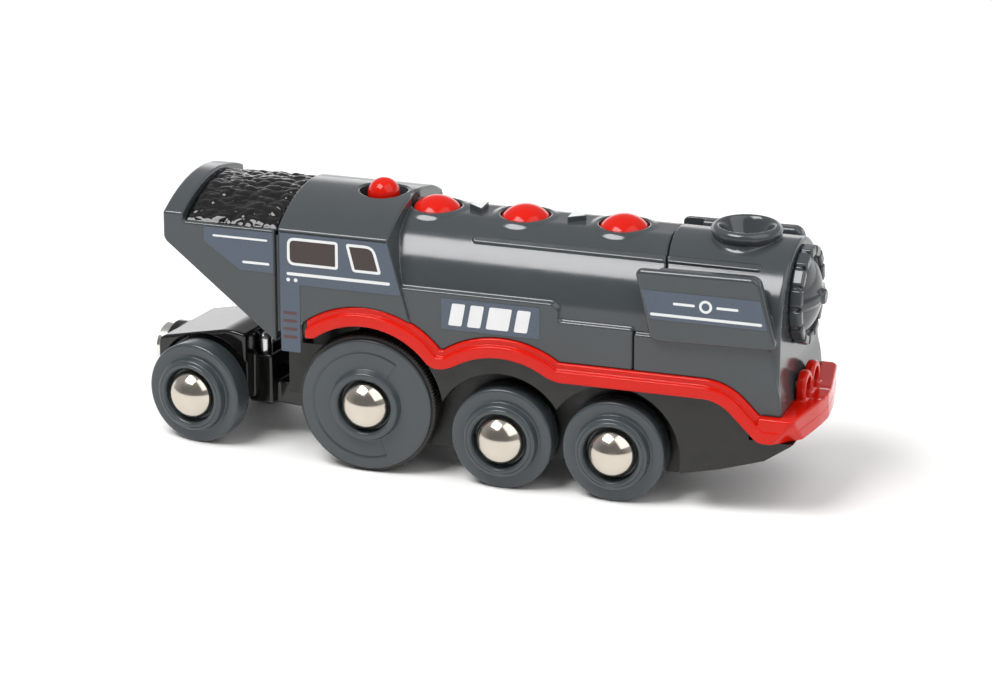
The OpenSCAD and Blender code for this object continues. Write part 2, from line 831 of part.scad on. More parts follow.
truck_in = 9.9;
truck_out = 14.6;
truck_ring = 16.3;
pivot_r = 2;
truck_rear = -32.6;
module truck_frame() {
  color([0.08, 0.08, 0.08]) on_truck() difference() {
    union() {
      across(-truck_y, truck_y) polygon([
        [truck_rear, 8.6], [truck_rear, 17.8], [-32, 18.5], [-16.6, 22.4], [-12.6, 22],
        [-12.6, 8.6]
      ]);
      // holder of the coupling magnet
      translate([truck_rear - 1.8, 0, magnet_z]) rotate([0, 90, 0]) cylinder(r = 5, h = 2);
      block(-14, -8.4, 6.5, 7.2, 17.5);
      block(-14, 0, 4.6, 7.2, 11.8);
      translate([0, 0, 7.2]) cylinder(r = 3.8, h = 4.6);
    }
    across(-truck_y + 1.5, truck_y - 1.5) polygon([
      [truck_rear + 1.7, 0], [truck_rear + 1.7, 17], [-16.6, 20.6], [-14.4, 20.4], [-14.4, 0]
    ]);
    cross_rod(-truck_axle, wheel_r, axle_r + axle_play, -20, 20);
    translate([0, 0, 0]) cylinder(r = pivot_r + axle_play, h = 20);
    translate([-coupling - 1, 0, magnet_z]) rotate([0, 90, 0]) cylinder(r = rivet_r, h = 8);
  }
}

pivot_thread_r = 1.3;
module truck_pivot_screw() {
  color([0.75, 0.75, 0.76]) translate([pivot_x, 0, 0]) difference() {
    union() {
      translate([0, 0, 5.6]) cylinder(r = 3.2, h = 1.5);
      translate([0, 0, 7]) cylinder(r = pivot_r, h = 5.2);
      translate([0, 0, 12]) cylinder(r = pivot_thread_r, h = 7.5);
    }
    for (a = [0, 90]) rotate([0, 0, a]) translate([-1.6, -0.3, 5]) cube([3.2, 0.6, 1.3]);
  }
}

module truck_axle_rod() {
  color([0.8, 0.8, 0.82]) on_truck()
    cross_rod(-truck_axle, wheel_r, axle_r, 0.4 - truck_out, truck_out - 0.4);
}
module truck_wheels() {
  color([0.28, 0.31, 0.34]) on_truck() both_sides()
    small_wheel(truck_in, truck_out, truck_ring, -truck_axle);
}
module truck_hub_caps() {
  color([0.85, 0.82, 0.78]) on_truck() both_sides()
    hub_cap(-truck_axle, wheel_r, truck_out - 0.4, truck_ring - cap_sink);
}

// Steel dowel on the truck's nose, which meets the chassis at the end of the swing
module truck_pin() {
  color([0.8, 0.78, 0.72]) on_truck() translate([-11.2, -4.2, 17.5]) {
    cylinder(r = 1.3, h = 2.4);
    translate([0, 0, 2.4]) sphere(r = 1.3);
  }
}

magnet_z = 13.4;
magnet_r = 4.2;
rivet_r = 1.1;
module coupling_magnet() {
  color([0.7, 0.7, 0.7]) on_truck() translate([-coupling, 0, magnet_z]) rotate([0, 90, 0])
    difference() {
      cylinder(r = magnet_r, h = coupling + truck_rear - 1.8);
      translate([0, 0, -1]) cylinder(r = rivet_r, h = 6);
    }
}
module magnet_rivet() {
  color([0.8, 0.8, 0.8]) on_truck() translate([-coupling, 0, magnet_z]) rotate([0, 90, 0]) {
    cylinder(r = rivet_r, h = coupling + truck_rear + 1.7);
    translate([0, 0, coupling + truck_rear + 1.7]) cylinder(r = 1.9, h = 0.7);
  }
}

// ---- screws ----

screw_r = 1.1;
head_r = 2;
head_h = 1;
body_screw = [-33.6, 7];
body_screw_z = 14;
body_screw_l = 20;
front_screw_x = 59;
front_screw_z = 14.2;
front_screw_l = 14;
gearbox_screw = [-5.6, 3.6];
gearbox_screw_z = 6;
gearbox_screw_l = 3.2;

// Clearance for a screw and its sunk head, which bears on the face at z
module screw_hole(x, y, z) {
  translate([x, y, 0]) {
    cylinder(r = screw_r, h = 40);
    cylinder(r = head_r + 0.2, h = z);
  }
}

// A screw that stands head down, its head's upper face at z
module screw(x, y, z, length) {
  translate([x, y, z]) difference() {
    union() {
      translate([0, 0, -head_h]) cylinder(r = head_r, h = head_h);
      cylinder(r = screw_r, h = length);
    }
    for (a = [0, 90]) rotate([0, 0, a])
      translate([-1.1, -0.25, -2]) cube([2.2, 0.5, 2.5 - head_h]);
  }
}

module body_screws() {
  color([0.6, 0.6, 0.62]) for (side = [-1, 1])
    screw(body_screw[0], side * body_screw[1], body_screw_z, body_screw_l);
}
module front_screw() {
  color([0.6, 0.6, 0.62]) screw(front_screw_x, 0, front_screw_z, front_screw_l);
}
module gearbox_screw() {
  color([0.6, 0.6, 0.62])
    screw(gearbox_screw[0], gearbox_screw[1], gearbox_screw_z, gearbox_screw_l);
}

chassis_frame();
running_board();
rear_shell();
front_shell();
tender_shell();
coal_load();
smokebox_door();
side_labels();
lamp_lenses();
lamp_leds();
battery_tray();
battery_cells();
battery_contacts();
gearbox_plates();
gear_pins();
drive_motor();
motor_pinion();
second_gear();
first_gear();
drive_gear();
circuit_board();
button_switches();
speaker();
forward_button();
stop_button();
reverse_button();
whistle_button();
drive_axle();
drive_wheels();
drive_tyres();
drive_hub_caps();
middle_axle();
middle_wheels();
middle_hub_caps();
front_axle();
front_wheels();
front_hub_caps();
truck_frame();
truck_pivot_screw();
truck_axle_rod();
truck_wheels();
truck_hub_caps();
truck_pin();
coupling_magnet();
magnet_rivet();
body_screws();
front_screw();
gearbox_screw();
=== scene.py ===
"""Looks of the toy steam locomotive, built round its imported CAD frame.

Shells and other moulded pieces are skins of signed distance fields, so that every edge has its real
radius. Turned pieces are lathed. Sizes here are in millimetres, and the meshes are made in metres.
X runs forward, Y to the left side, Z up.
"""
import json
import math
import random

import bpy
import numpy as np
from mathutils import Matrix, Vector


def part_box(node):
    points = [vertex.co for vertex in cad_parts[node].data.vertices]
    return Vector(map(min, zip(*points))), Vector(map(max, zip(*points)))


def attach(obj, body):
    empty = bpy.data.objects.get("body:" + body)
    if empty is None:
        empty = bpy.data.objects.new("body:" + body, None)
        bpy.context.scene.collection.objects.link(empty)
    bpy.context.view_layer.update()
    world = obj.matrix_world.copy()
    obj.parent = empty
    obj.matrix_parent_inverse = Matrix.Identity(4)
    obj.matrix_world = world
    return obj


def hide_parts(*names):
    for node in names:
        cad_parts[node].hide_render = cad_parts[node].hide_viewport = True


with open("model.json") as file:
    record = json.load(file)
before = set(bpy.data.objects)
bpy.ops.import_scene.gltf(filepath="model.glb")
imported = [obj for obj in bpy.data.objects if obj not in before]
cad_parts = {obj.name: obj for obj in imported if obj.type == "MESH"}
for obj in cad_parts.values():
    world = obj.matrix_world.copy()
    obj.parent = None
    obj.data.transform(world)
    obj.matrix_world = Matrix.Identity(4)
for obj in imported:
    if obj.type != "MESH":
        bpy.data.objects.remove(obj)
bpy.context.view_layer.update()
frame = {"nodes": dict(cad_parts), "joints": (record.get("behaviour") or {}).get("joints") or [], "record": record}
NODES = frame["nodes"]
MM = 0.001

JOINTS = {joint["name"]: joint for joint in frame["joints"]}


def place(joint):
    """A joint's position in millimetres."""
    return [value / MM for value in JOINTS[joint]["pos_m"]]


DRIVE_X, _, DRIVE_Z = place("drive_spin")
MIDDLE_X, _, WHEEL_Z = place("middle_spin")
FRONT_X = place("front_spin")[0]
PIVOT_X = place("truck_swivel")[0]
TRUCK_SPIN = JOINTS["truck_spin"]
TRUCK_X, TRUCK_Y, _ = place("truck_spin")
TRUCK_YAW = -math.atan2(TRUCK_SPIN["axis"][0], TRUCK_SPIN["axis"][1])
BUTTON_X = {key: place(key + "_press")[0] for key in ("reverse", "stop", "forward")}
BALL_X = place("whistle_press")[0]


def corner(node, side, axis):
    """One coordinate of a node's box in millimetres; side 0 is the lowest corner, 1 the highest."""
    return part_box(node)[side][axis] / MM


# ---- camera ----

AIM = Vector((2.15, 0, 22.1)) * MM
AZIMUTH, ELEVATION, DISTANCE = math.radians(18), math.radians(19.87), 861.5 * MM
SENSOR_MM, LENS_MM = 36, 163.3

camera = bpy.data.objects.new("camera", bpy.data.cameras.new("camera"))
bpy.context.scene.collection.objects.link(camera)
bpy.context.scene.camera = camera
camera.data.sensor_width = SENSOR_MM
camera.data.lens = LENS_MM
back = Vector((
    math.sin(AZIMUTH) * math.cos(ELEVATION),
    -math.cos(AZIMUTH) * math.cos(ELEVATION),
    math.sin(ELEVATION),
))
camera.location = AIM + back * DISTANCE
camera.rotation_euler = back.to_track_quat("Z", "Y").to_euler()

# ---- materials ----


def shader(name, **sockets):
    """A material whose Principled shader has these constants on its own sockets."""
    material = bpy.data.materials.new(name)
    material.use_nodes = True
    tree = material.node_tree
    principled = tree.nodes["Principled BSDF"]
    for socket, value in sockets.items():
        principled.inputs[socket.replace("_", " ")].default_value = value
    return material, tree, principled


def noise(tree, scale, detail=2.0, rough=0.5):
    """Noise over the piece's own coordinates; scale is in features per metre."""
    place_node = tree.nodes.new("ShaderNodeTexCoord")
    texture = tree.nodes.new("ShaderNodeTexNoise")
    texture.inputs["Scale"].default_value = scale
    texture.inputs["Detail"].default_value = detail
    texture.inputs["Roughness"].default_value = rough
    tree.links.new(place_node.outputs["Object"], texture.inputs["Vector"])
    return texture.outputs["Fac"]


def ramp(tree, factor, low, high, start=0.3, end=0.7):
    """A factor mapped onto the range from low to high."""
    node = tree.nodes.new("ShaderNodeMapRange")
    for socket, value in zip(("From Min", "From Max", "To Min", "To Max"), (start, end, low, high)):
        node.inputs[socket].default_value = value
    tree.links.new(factor, node.inputs["Value"])
    return node.outputs["Result"]


def tint(tree, factor, one, two):
    """A colour between two, by a factor."""
    node = tree.nodes.new("ShaderNodeMix")
    node.data_type = "RGBA"
    node.inputs["A"].default_value = (*one, 1)
    node.inputs["B"].default_value = (*two, 1)
    tree.links.new(factor, node.inputs["Factor"])
    return node.outputs["Result"]


def bump(tree, principled, layers):
    """Bumps laid over each other; each layer is a height, a strength and a depth in metres."""
    normal = None
    for height, strength, depth in layers:
        node = tree.nodes.new("ShaderNodeBump")
        node.inputs["Strength"].default_value = strength
        node.inputs["Distance"].default_value = depth
        tree.links.new(height, node.inputs["Height"])
        if normal is not None:
            tree.links.new(normal, node.inputs["Normal"])
        normal = node.outputs["Normal"]
    tree.links.new(normal, principled.inputs["Normal"])


def shade(colour, share):
    """A colour made darker or lighter."""
    return tuple(channel * share for channel in colour)


def plastic(name, colour, rough, grain=0.05, sink=0.12, vary=0.05, **sockets):
    """Moulded plastic: slight flow marks, uneven gloss, fine grain and shallow sink marks."""
    material, tree, principled = shader(name, **sockets)
    flow = noise(tree, 60, 3)
    colours = tint(tree, ramp(tree, flow, 0, 1), shade(colour, 1 - vary), shade(colour, 1 + vary))
    tree.links.new(colours, principled.inputs["Base Color"])
    gloss = ramp(tree, noise(tree, 320, 4), rough * 0.85, rough * 1.2)
    tree.links.new(gloss, principled.inputs["Roughness"])
    layers = [(noise(tree, 110, 1), sink, 0.0004), (noise(tree, 5200, 3), grain, 0.00003)]
    bump(tree, principled, layers)
    return material


def metal(name, colour, rough, brushed=0.0):
    """Plated or bare metal with fine unevenness, rougher to the touch where it is brushed."""
    material, tree, principled = shader(name, Metallic=1.0)
    stain = ramp(tree, noise(tree, 240, 4), 0, 1)
    tree.links.new(tint(tree, stain, shade(colour, 0.94), colour), principled.inputs["Base Color"])
    gloss = ramp(tree, noise(tree, 900, 3), rough * 0.8, rough * 1.3)
    tree.links.new(gloss, principled.inputs["Roughness"])
    bump(tree, principled, [(noise(tree, 500, 2), 0.1 + brushed, 0.00004)])
    return material


def film(name, colour, rough=0.34, speck=0.18):
    """Printed film with a fine metallic fleck."""
    material, tree, principled = shader(name, Metallic=0.15, Coat_Weight=0.25, Coat_Roughness=0.12)
    fleck = ramp(tree, noise(tree, 3600, 2), 0, 1)
    cloud = ramp(tree, noise(tree, 260, 3), 0, 1)
    base = tint(tree, fleck, shade(colour, 1 - speck), shade(colour, 1 + speck))
    worn = tint(tree, cloud, shade(colour, 0.94), shade(colour, 1.08))
    mix = tree.nodes.new("ShaderNodeMix")
    mix.data_type = "RGBA"
    mix.inputs["Factor"].default_value = 0.3
    tree.links.new(base, mix.inputs["A"])
    tree.links.new(worn, mix.inputs["B"])
    tree.links.new(mix.outputs["Result"], principled.inputs["Base Color"])
    tree.links.new(ramp(tree, fleck, rough * 0.85, rough * 1.15), principled.inputs["Roughness"])
    bump(tree, principled, [(fleck, 0.08, 0.00002)])
    return material


MATERIALS = {
    "body_grey": plastic("body_grey", (0.043, 0.050, 0.053), 0.15, grain=0.03, sink=0.05),
    "wheel_grey": plastic("wheel_grey", (0.044, 0.054, 0.060), 0.22, grain=0.05, sink=0.015),
    "red_plastic": plastic("red_plastic", (0.54, 0.009, 0.003), 0.12, grain=0.02, sink=0.04,
                           vary=0.03, Specular_IOR_Level=0.24),
    "black_plastic": plastic("black_plastic", (0.006, 0.0056, 0.0048), 0.42, grain=0.35, sink=0.05),
    "truck_black": plastic("truck_black", (0.006, 0.006, 0.0055), 0.10, grain=0.03, sink=0.08),
    "coal_black": plastic("coal_black", (0.004, 0.004, 0.0035), 0.12, grain=0.15, sink=0.25,
                          Specular_IOR_Level=0.4),
    "label_film": film("label_film", (0.052, 0.072, 0.102)),
    "window_brown": film("window_brown", (0.024, 0.012, 0.009), speck=0.08),
    "bar_red": film("bar_red", (0.070, 0.024, 0.022), speck=0.08),
    "print_white": film("print_white", (0.66, 0.67, 0.67), rough=0.4, speck=0.02),
    "lamp_lens": plastic("lamp_lens", (0.10, 0.006, 0.004), 0.06, grain=0, Coat_Weight=1.0),
    "led_plastic": plastic("led_plastic", (0.80, 0.79, 0.70), 0.12),
    "cell_wrap": film("cell_wrap", (0.10, 0.24, 0.15)),
    "nickel_steel": metal("nickel_steel", (0.72, 0.70, 0.66), 0.14),
    "gearbox_black": plastic("gearbox_black", (0.05, 0.05, 0.05), 0.4, grain=0.2),
    "steel": metal("steel", (0.58, 0.58, 0.59), 0.2, brushed=0.1),
    "motor_can": metal("motor_can", (0.62, 0.62, 0.63), 0.28, brushed=0.15),
    "brass": metal("brass", (0.78, 0.58, 0.25), 0.2, brushed=0.1),
    "gear_nylon": plastic("gear_nylon", (0.72, 0.70, 0.62), 0.38, Subsurface_Weight=0.1),
    "board_green": plastic("board_green", (0.03, 0.16, 0.07), 0.25, grain=0.1),
    "switch_black": plastic("switch_black", (0.04, 0.04, 0.04), 0.35),
    "speaker_black": plastic("speaker_black", (0.06, 0.06, 0.065), 0.5, grain=0.4),
    "tyre_rubber": plastic("tyre_rubber", (0.022, 0.021, 0.019), 0.55, grain=0.3),
    "hub_chrome": metal("hub_chrome", (0.58, 0.53, 0.46), 0.14),
    "magnet_nickel": metal("magnet_nickel", (0.74, 0.72, 0.68), 0.16),
    "dark_steel": metal("dark_steel", (0.05, 0.048, 0.045), 0.35),
}
SLOTS = {row["node"]: row["material_slot"] for row in frame["record"]["subparts"]}

# every CAD node takes the look of its slot, and the body screws are blackened
for node, thing in NODES.items():
    thing.data.materials.clear()
    thing.data.materials.append(MATERIALS["dark_steel" if node == "body_screws" else SLOTS[node]])

# ---- signed distance fields, in millimetres, negative inside ----


def hypot(a, b):
    """Distance from two offsets at right angles, for whole grids."""
    return np.sqrt(a * a + b * b)


def both(a, b, r=0.25):
    """Where a and b overlap, with the edge rounded to radius r."""
    rim = hypot(np.maximum(a + r, 0), np.maximum(b + r, 0))
    return np.minimum(np.maximum(a, b), -r) + rim


def either(a, b, r=0.25):
    """a and b joined, with a fillet of radius r between them."""
    return -both(-a, -b, r)


def without(a, b, r=0.25):
    """a with b cut out of it, with the edge rounded."""
    return both(a, -b, r)


def between(value, low, high):
    """A slab from low to high."""
    return np.maximum(low - value, value - high)


def convex(points, u, v, r):
    """A convex outline, given anticlockwise, with its corners rounded."""
    field = None
    for (u0, v0), (u1, v1) in zip(points, points[1:] + points[:1]):
        length = math.hypot(u1 - u0, v1 - v0)
        side = ((u - u0) * (v1 - v0) - (v - v0) * (u1 - u0)) / length
        field = side if field is None else both(field, side, r)
    return field


def gradient(field, points, reach=0.03):
    """The field's slope at points, by central differences."""
    slopes = []
    for axis in range(3):
        step = np.zeros(3)
        step[axis] = reach
        ahead, behind = points + step, points - step
        slopes.append((field(*ahead.T) - field(*behind.T)) / (2 * reach))
    return np.stack(slopes, 1)


def surface_net(field, low, high, step):
    """Points and quads of the surface where the field is zero, one point in each crossed cell."""
    axes = [np.arange(l - 2.37 * step, h + 2.4 * step, step) for l, h in zip(low, high)]
    shapes = ((-1, 1, 1), (1, -1, 1), (1, 1, -1))
    grid = [axis.reshape(shape) for axis, shape in zip(axes, shapes)]
    values = np.broadcast_to(field(*grid), [len(axis) for axis in axes])
    cells = np.array(values.shape) - 1
    rings, crossings = [], []
    for axis in range(3):
        beside, above = (axis + 1) % 3, (axis + 2) % 3
        near, far = [slice(None)] * 3, [slice(None)] * 3
        near[axis], far[axis] = slice(None, -1), slice(1, None)
        first, second = values[tuple(near)], values[tuple(far)]
        at = np.argwhere((first < 0) != (second < 0))
        start, stop = first[tuple(at.T)], second[tuple(at.T)]
        where = at.astype(float)
        where[:, axis] += start / (start - stop)
        ring = []
        for one, two in ((0, 0), (1, 0), (1, 1), (0, 1)):
            cell = at.copy()
            cell[:, beside] -= one
            cell[:, above] -= two
            ring.append(np.ravel_multi_index(cell.T, cells))
        ring = np.stack(ring, 1)
        leaving = start >= 0
        ring[leaving] = ring[leaving][:, ::-1]
        rings.append(ring)
        crossings.append(np.repeat(where[:, None, :], 4, 1))
    rings, crossings = np.concatenate(rings), np.concatenate(crossings)
    _, index = np.unique(rings, return_inverse=True)
    index = index.reshape(-1)
    count = np.bincount(index)
    flat = crossings.reshape(-1, 3)
    points = np.stack([np.bincount(index, flat[:, a]) / count for a in range(3)], 1)
    origin = np.array([axis[0] for axis in axes])
    return origin + points * step, index.reshape(-1, 4)


def make_mesh(name, points, faces, material, normals=None, smooth=True):
    """A mesh object from points in millimetres."""
    mesh = bpy.data.meshes.new(name)
    mesh.from_pydata((np.asarray(points) * MM).tolist(), [], faces)
    mesh.materials.append(MATERIALS[material])
    mesh.polygons.foreach_set("use_smooth", [smooth] * len(mesh.polygons))
    if normals is not None:
        mesh.normals_split_custom_set_from_vertices(normals.tolist())
    piece = bpy.data.objects.new(name, mesh)
    bpy.context.scene.collection.objects.link(piece)
    return piece


def skin(name, field, low, high, material, step=0.36, turn=None):
    """The skin of a field as a piece. Its points lie on the surface, and its shading follows it.

    turn, where given, takes points and normals from the field's own place to the piece's place.
    """
    points, quads = surface_net(field, low, high, step)
    for _ in range(3):
        slope = gradient(field, points)
        steep = np.maximum((slope * slope).sum(1), 0.05)
        move = slope * (field(*points.T) / steep)[:, None]
        length = np.linalg.norm(move, axis=1, keepdims=True)
        points = points - move * np.minimum(1, 0.5 * step / np.maximum(length, 1e-9))
    normals = gradient(field, points)
    normals /= np.maximum(np.linalg.norm(normals, axis=1, keepdims=True), 1e-9)
    if turn is not None:
        points, normals = turn(points), turn(normals, False)
    return make_mesh(name, points, quads.tolist(), material, normals)


def stands_for(piece, body, *nodes):
    """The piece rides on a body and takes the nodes' place."""
    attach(piece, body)
    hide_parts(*nodes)
    return piece


# ---- running board line ----

BOARD_RISE, FACE_RISE = 3.6, 2.4
BOARD_Z = 23.1
DRIVE_ARCH_R, MIDDLE_ARCH_R = 16.1, 16.6
SLOPE_X, SLOPE_R = 47.5, 8
BEAM_Z, BEAM_TOP = 15.6, 20.6
BEAM_REAR, BEAM_INSIDE, BOARD_INSIDE = 58.5, 61.9, 15.0
FACET_X, CORNER_X = 65.3, 64.4
BOARD_Y = corner("running_board", 1, 1)
NOSE_X = corner("running_board", 1, 0)
BOARD_REAR = corner("running_board", 0, 0)
DECK_Z = corner("rear_shell", 0, 2)


def board_line(x, z):
    """Distance above the running board's lower line: arcs over the wheels and a slope in front."""
    over_drive = hypot(x - DRIVE_X, z - DRIVE_Z) - DRIVE_ARCH_R
    over_middle = hypot(x - MIDDLE_X, z - WHEEL_Z) - MIDDLE_ARCH_R
    # the flat stretch ends in a round shoulder and a slope
    u, v = x - SLOPE_X, z - (BOARD_Z - SLOPE_R)
    flat = np.where(u < 0, v, np.where(v > u, hypot(u, v), (u + v) / math.sqrt(2))) - SLOPE_R
    line = either(over_drive, flat, 1.2)
    line = either(line, over_middle, 1.2)
    return either(line, np.maximum(z - BEAM_Z, SLOPE_X - x), 0.8)


def nose(x, ay):
    """The board's plan: straight sides, and a front with a facet on each side."""
    facet = (x - FACET_X) * 0.985 + (ay - BOARD_Y + 0.9) * 0.17
    corner_cut = (x - CORNER_X) * 0.707 + (ay - BOARD_Y) * 0.707
    plan = both(both(x - NOSE_X, facet, 0.8), ay - BOARD_Y, 0.3)
    return both(plan, corner_cut, 0.3)


def under_nose(x, ay, z):
    """The chamfer below each corner of the nose."""
    return (x - FACET_X) * 0.612 + (ay - BOARD_Y) * 0.612 - (z - BEAM_TOP) * 0.5


LUG_Y, LUG_Z, LUG_R = 2.9, 22.5, 3.2
LUG_FRONT, LUG_DEPTH = 64.6, 1.9
LENS_R, LENS_REAR = 1.9, 63.2


def board_field(x, y, z):
    """The running board with its bumper beam and the two lamp lugs."""
    ay = np.abs(y)
    rise = board_line(x, z)
    plan = nose(x, ay)
    face = both(plan, rise - FACE_RISE, 0.25)
    # a crown stands in from the outer face, and a bevel leads up to it
    crown = both(both(plan + 1.0, rise - BOARD_RISE, 0.35), rise + plan - FACE_RISE - 0.5, 0.25)
    strip = either(face, crown, 0.15)
    beam = both(plan, between(z, BEAM_Z, BEAM_TOP), 0.4)
    beam = both(beam, BEAM_REAR - x, 0.3)
    strip = either(strip, beam, 0.4)
    strip = both(strip, -rise, 0.4)
    strip = both(strip, under_nose(x, ay, z), 0.3)
    strip = without(strip, both(ay - BOARD_INSIDE, x - BEAM_INSIDE, 0.2), 0.2)
    # the rear end is cut off upright, and its lower corner is cut away
    strip = both(strip, BOARD_REAR - x, 0.12)
    strip = without(strip, both(z - 26.5, x + 27.75, 0.2), 0.3)
    side = np.abs(ay - LUG_Y)
    column = both(side - LUG_R, between(z, BEAM_TOP - 1.5, LUG_Z), 0.01)
    lug = np.minimum(column, hypot(side, z - LUG_Z) - LUG_R)
    lug = both(lug, between(x, LUG_FRONT - LUG_DEPTH, LUG_FRONT), 0.6)
    strip = either(strip, lug, 0.5)
    return without(strip, both(hypot(side, z - LUG_Z) - LENS_R, LENS_REAR - x, 0.1), 0.35)


running_board = skin("running_board_piece", board_field, (BOARD_REAR, -BOARD_Y, 15),
                     (NOSE_X, BOARD_Y, 34), "red_plastic", 0.3)
stands_for(running_board, "locomotive", "running_board")

# ---- body shells ----

BOILER_R, BOILER_Z = 14.9, 35.4
RIB_ANGLE = 38.6
TANK_Y, CAB_Y, TENDER_Y = 15.6, 16.5, 16.3
CAB_SIDE_Y = CAB_Y - 0.22
CAB_X = -36.0
GUTTER_Z, ROOF_Z = 47.5, 52.1
WALL = 1.5
STRIP_X, STRIP_GAP_X, STRIP_GAP_Z = -31.6, -24, 29
FLAT_Z, SEAT_R, DOME_HOLE_R = 49.87, 6.0, 4.8
TANK_TOP, TANK_FRONT = 38.2, 19.4
LEDGE_TOP, LEDGE_FRONT = 34.85, 33.8
CAB_TOP_X = -13.9
CUP_R, CUP_INSIDE_R, CUP_FLOOR, CUP_WALL, STEM_R = 5.4, 4.6, 46.9, (45.9, 50.9), 1.7


def seam_x(z):
    """Where the rear shell ends: a step at the ledge, and a lean above it."""
    return np.where(z > 34.4, 38.6 - 0.24 * np.maximum(z - 46, 0), LEDGE_FRONT)


def boiler(y, z):
    """A round top on straight sides."""
    return np.where(z > BOILER_Z, hypot(y, z - BOILER_Z), np.abs(y)) - BOILER_R


def roof(y, z, half, eaves, top):
    """A roof section: straight sides and a shallow arc over the top."""
    rise = top - eaves
    arc = (half * half + rise * rise) / (2 * rise)
    over = np.where(z > top - arc, hypot(y, z - (top - arc)), np.abs(y)) - arc
    return both(over, np.abs(y) - half, 0.35)


def rib(x, y, z, x0, x1):
    """The low rib moulded on the boiler's shoulder, with round ends, on both sides."""
    ay = np.abs(y)
    lean = math.radians(RIB_ANGLE)
    across = ay * math.cos(lean) - (z - BOILER_Z) * math.sin(lean)
    out = ay * math.sin(lean) + (z - BOILER_Z) * math.cos(lean) - BOILER_R
    plan = hypot(across, np.maximum(between(x, x0 + 0.8, x1 - 0.8), 0)) - 0.8
    return both(plan, out - 0.38, 0.3)


def rear_outer(x, y, z):
    """The rear shell as if it were solid: boiler, tanks, ledges, dome seats and cab."""
    ay = np.abs(y)
    body = boiler(y, z)
    body = either(body, rib(x, y, z, 0.6, 60), 0.2)
    body = both(body, x - seam_x(z), 0.3)
    # the tank and the ledge below it have one flat side
    tank = both(z - TANK_TOP, x - TANK_FRONT, 1.8)
    ledge = both(z - LEDGE_TOP, x - LEDGE_FRONT, 0.35)
    body = either(body, both(either(tank, ledge, 0.6), ay - TANK_Y, 0.5), 0.5)
    # the ridge is flat, and a seat stands round each dome button
    body = both(body, z - FLAT_Z, 0.15)
    for dome_x in BUTTON_X.values():
        seat = both(hypot(x - dome_x, y) - SEAT_R, between(z, 44, FLAT_Z), 0.9)
        body = either(body, seat, 0.8)
    # the front edge leans back up to the gutter, and stands upright above it
    lean = convex([(CAB_X, 10), (-8.6, 10), (-8.6, 28), (CAB_TOP_X, GUTTER_Z), (-17.3, 60),
                   (CAB_X, 60)], x, z, 0.5)
    side = np.where(z < GUTTER_Z, lean, x - CAB_TOP_X)
    hull = roof(y, z, CAB_Y, GUTTER_Z, ROOF_Z)
    # the sides are set in under the gutter
    hull = without(hull, both(CAB_SIDE_Y - ay, z - GUTTER_Z + 0.35, 0.08), 0.1)
    cab = both(hull, side, 0.45)
    return either(body, cab, 0.2)


def rear_field(x, y, z):
    """The rear shell, hollow, with its openings."""
    outer = rear_outer(x, y, z)
    shell = without(outer, outer + WALL, 0.2)
    for dome_x in BUTTON_X.values():
        shell = without(shell, both(hypot(x - dome_x, y) - DOME_HOLE_R, 44 - z, 0.1), 0.35)
    # a cup in the roof for the whistle's ball, with a hole for its stem
    well = hypot(x - BALL_X, y)
    shell = either(shell, both(well - CUP_R, between(z, *CUP_WALL), 0.1), 0.1)
    shell = without(shell, both(well - CUP_INSIDE_R, CUP_FLOOR - z, 0.2), 0.4)
    shell = without(shell, well - STEM_R, 0.1)
    # the running board's place, and the gap between it and the strip at the cab's rear edge
    shell = without(shell, board_line(x, z) - BOARD_RISE, 0.3)
    gap = both(both(STRIP_X - x, x - STRIP_GAP_X, 0.2), z - STRIP_GAP_Z, 0.2)
    shell = without(shell, gap, 0.3)
    shell = both(shell, DECK_Z - z, 0.3)
    return both(shell, CAB_X - x, 0.3)


rear_shell = skin("rear_shell_piece", rear_field, (CAB_X, -CAB_Y, DECK_Z), (39, CAB_Y, ROOF_Z),
                  "body_grey", 0.36)
stands_for(rear_shell, "locomotive", "rear_shell")

FRONT_FACE = 61.8
CHIMNEY_X, CHIMNEY_R, LIP_RING, LIP_R = 51.25, 5.9, 5.55, 1.2
CHIMNEY_TOP = corner("front_shell", 1, 2)
LIP_Z = CHIMNEY_TOP - LIP_R
BOWL_FLOOR, BOWL_R, BOWL_HOLE_R, FRONT_INSIDE_Z = 48.4, 3.3, 1.2, 47.5
KNOB_R, KNOB_RING, LED_BORE_R = 0.75, 2.5, 1.15
WING_Y = 17.1
WING = [(34.3, 47.2), (37.6, 33.3), (61.7, 33.9), (58, 47.6)]
PANEL = [(30, 10), (62.6, 10), (62.6, 22.2), (60, 34), (30, 34)]
GAP = 0.25


def front_outer(x, y, z):
    """The front shell as if it were solid: smokebox, lower panels and chimney."""
    ay = np.abs(y)
    body = both(boiler(y, z), x - FRONT_FACE, 0.7)
    body = either(body, rib(x, y, z, 30, 56.7), 0.2)
    panel = both(convex(PANEL, x, z, 0.6), ay - TANK_Y, 0.5)
    body = either(body, panel, 0.4)
    off = hypot(x - CHIMNEY_X, y)
    barrel = both(off - CHIMNEY_R - 0.6 * np.maximum(50 - z, 0), between(z, 44, LIP_Z), 0.3)
    lip = hypot(off - LIP_RING, z - LIP_Z) - LIP_R
    chimney = either(barrel, lip, 0.8)
    return either(body, chimney, 0.25)


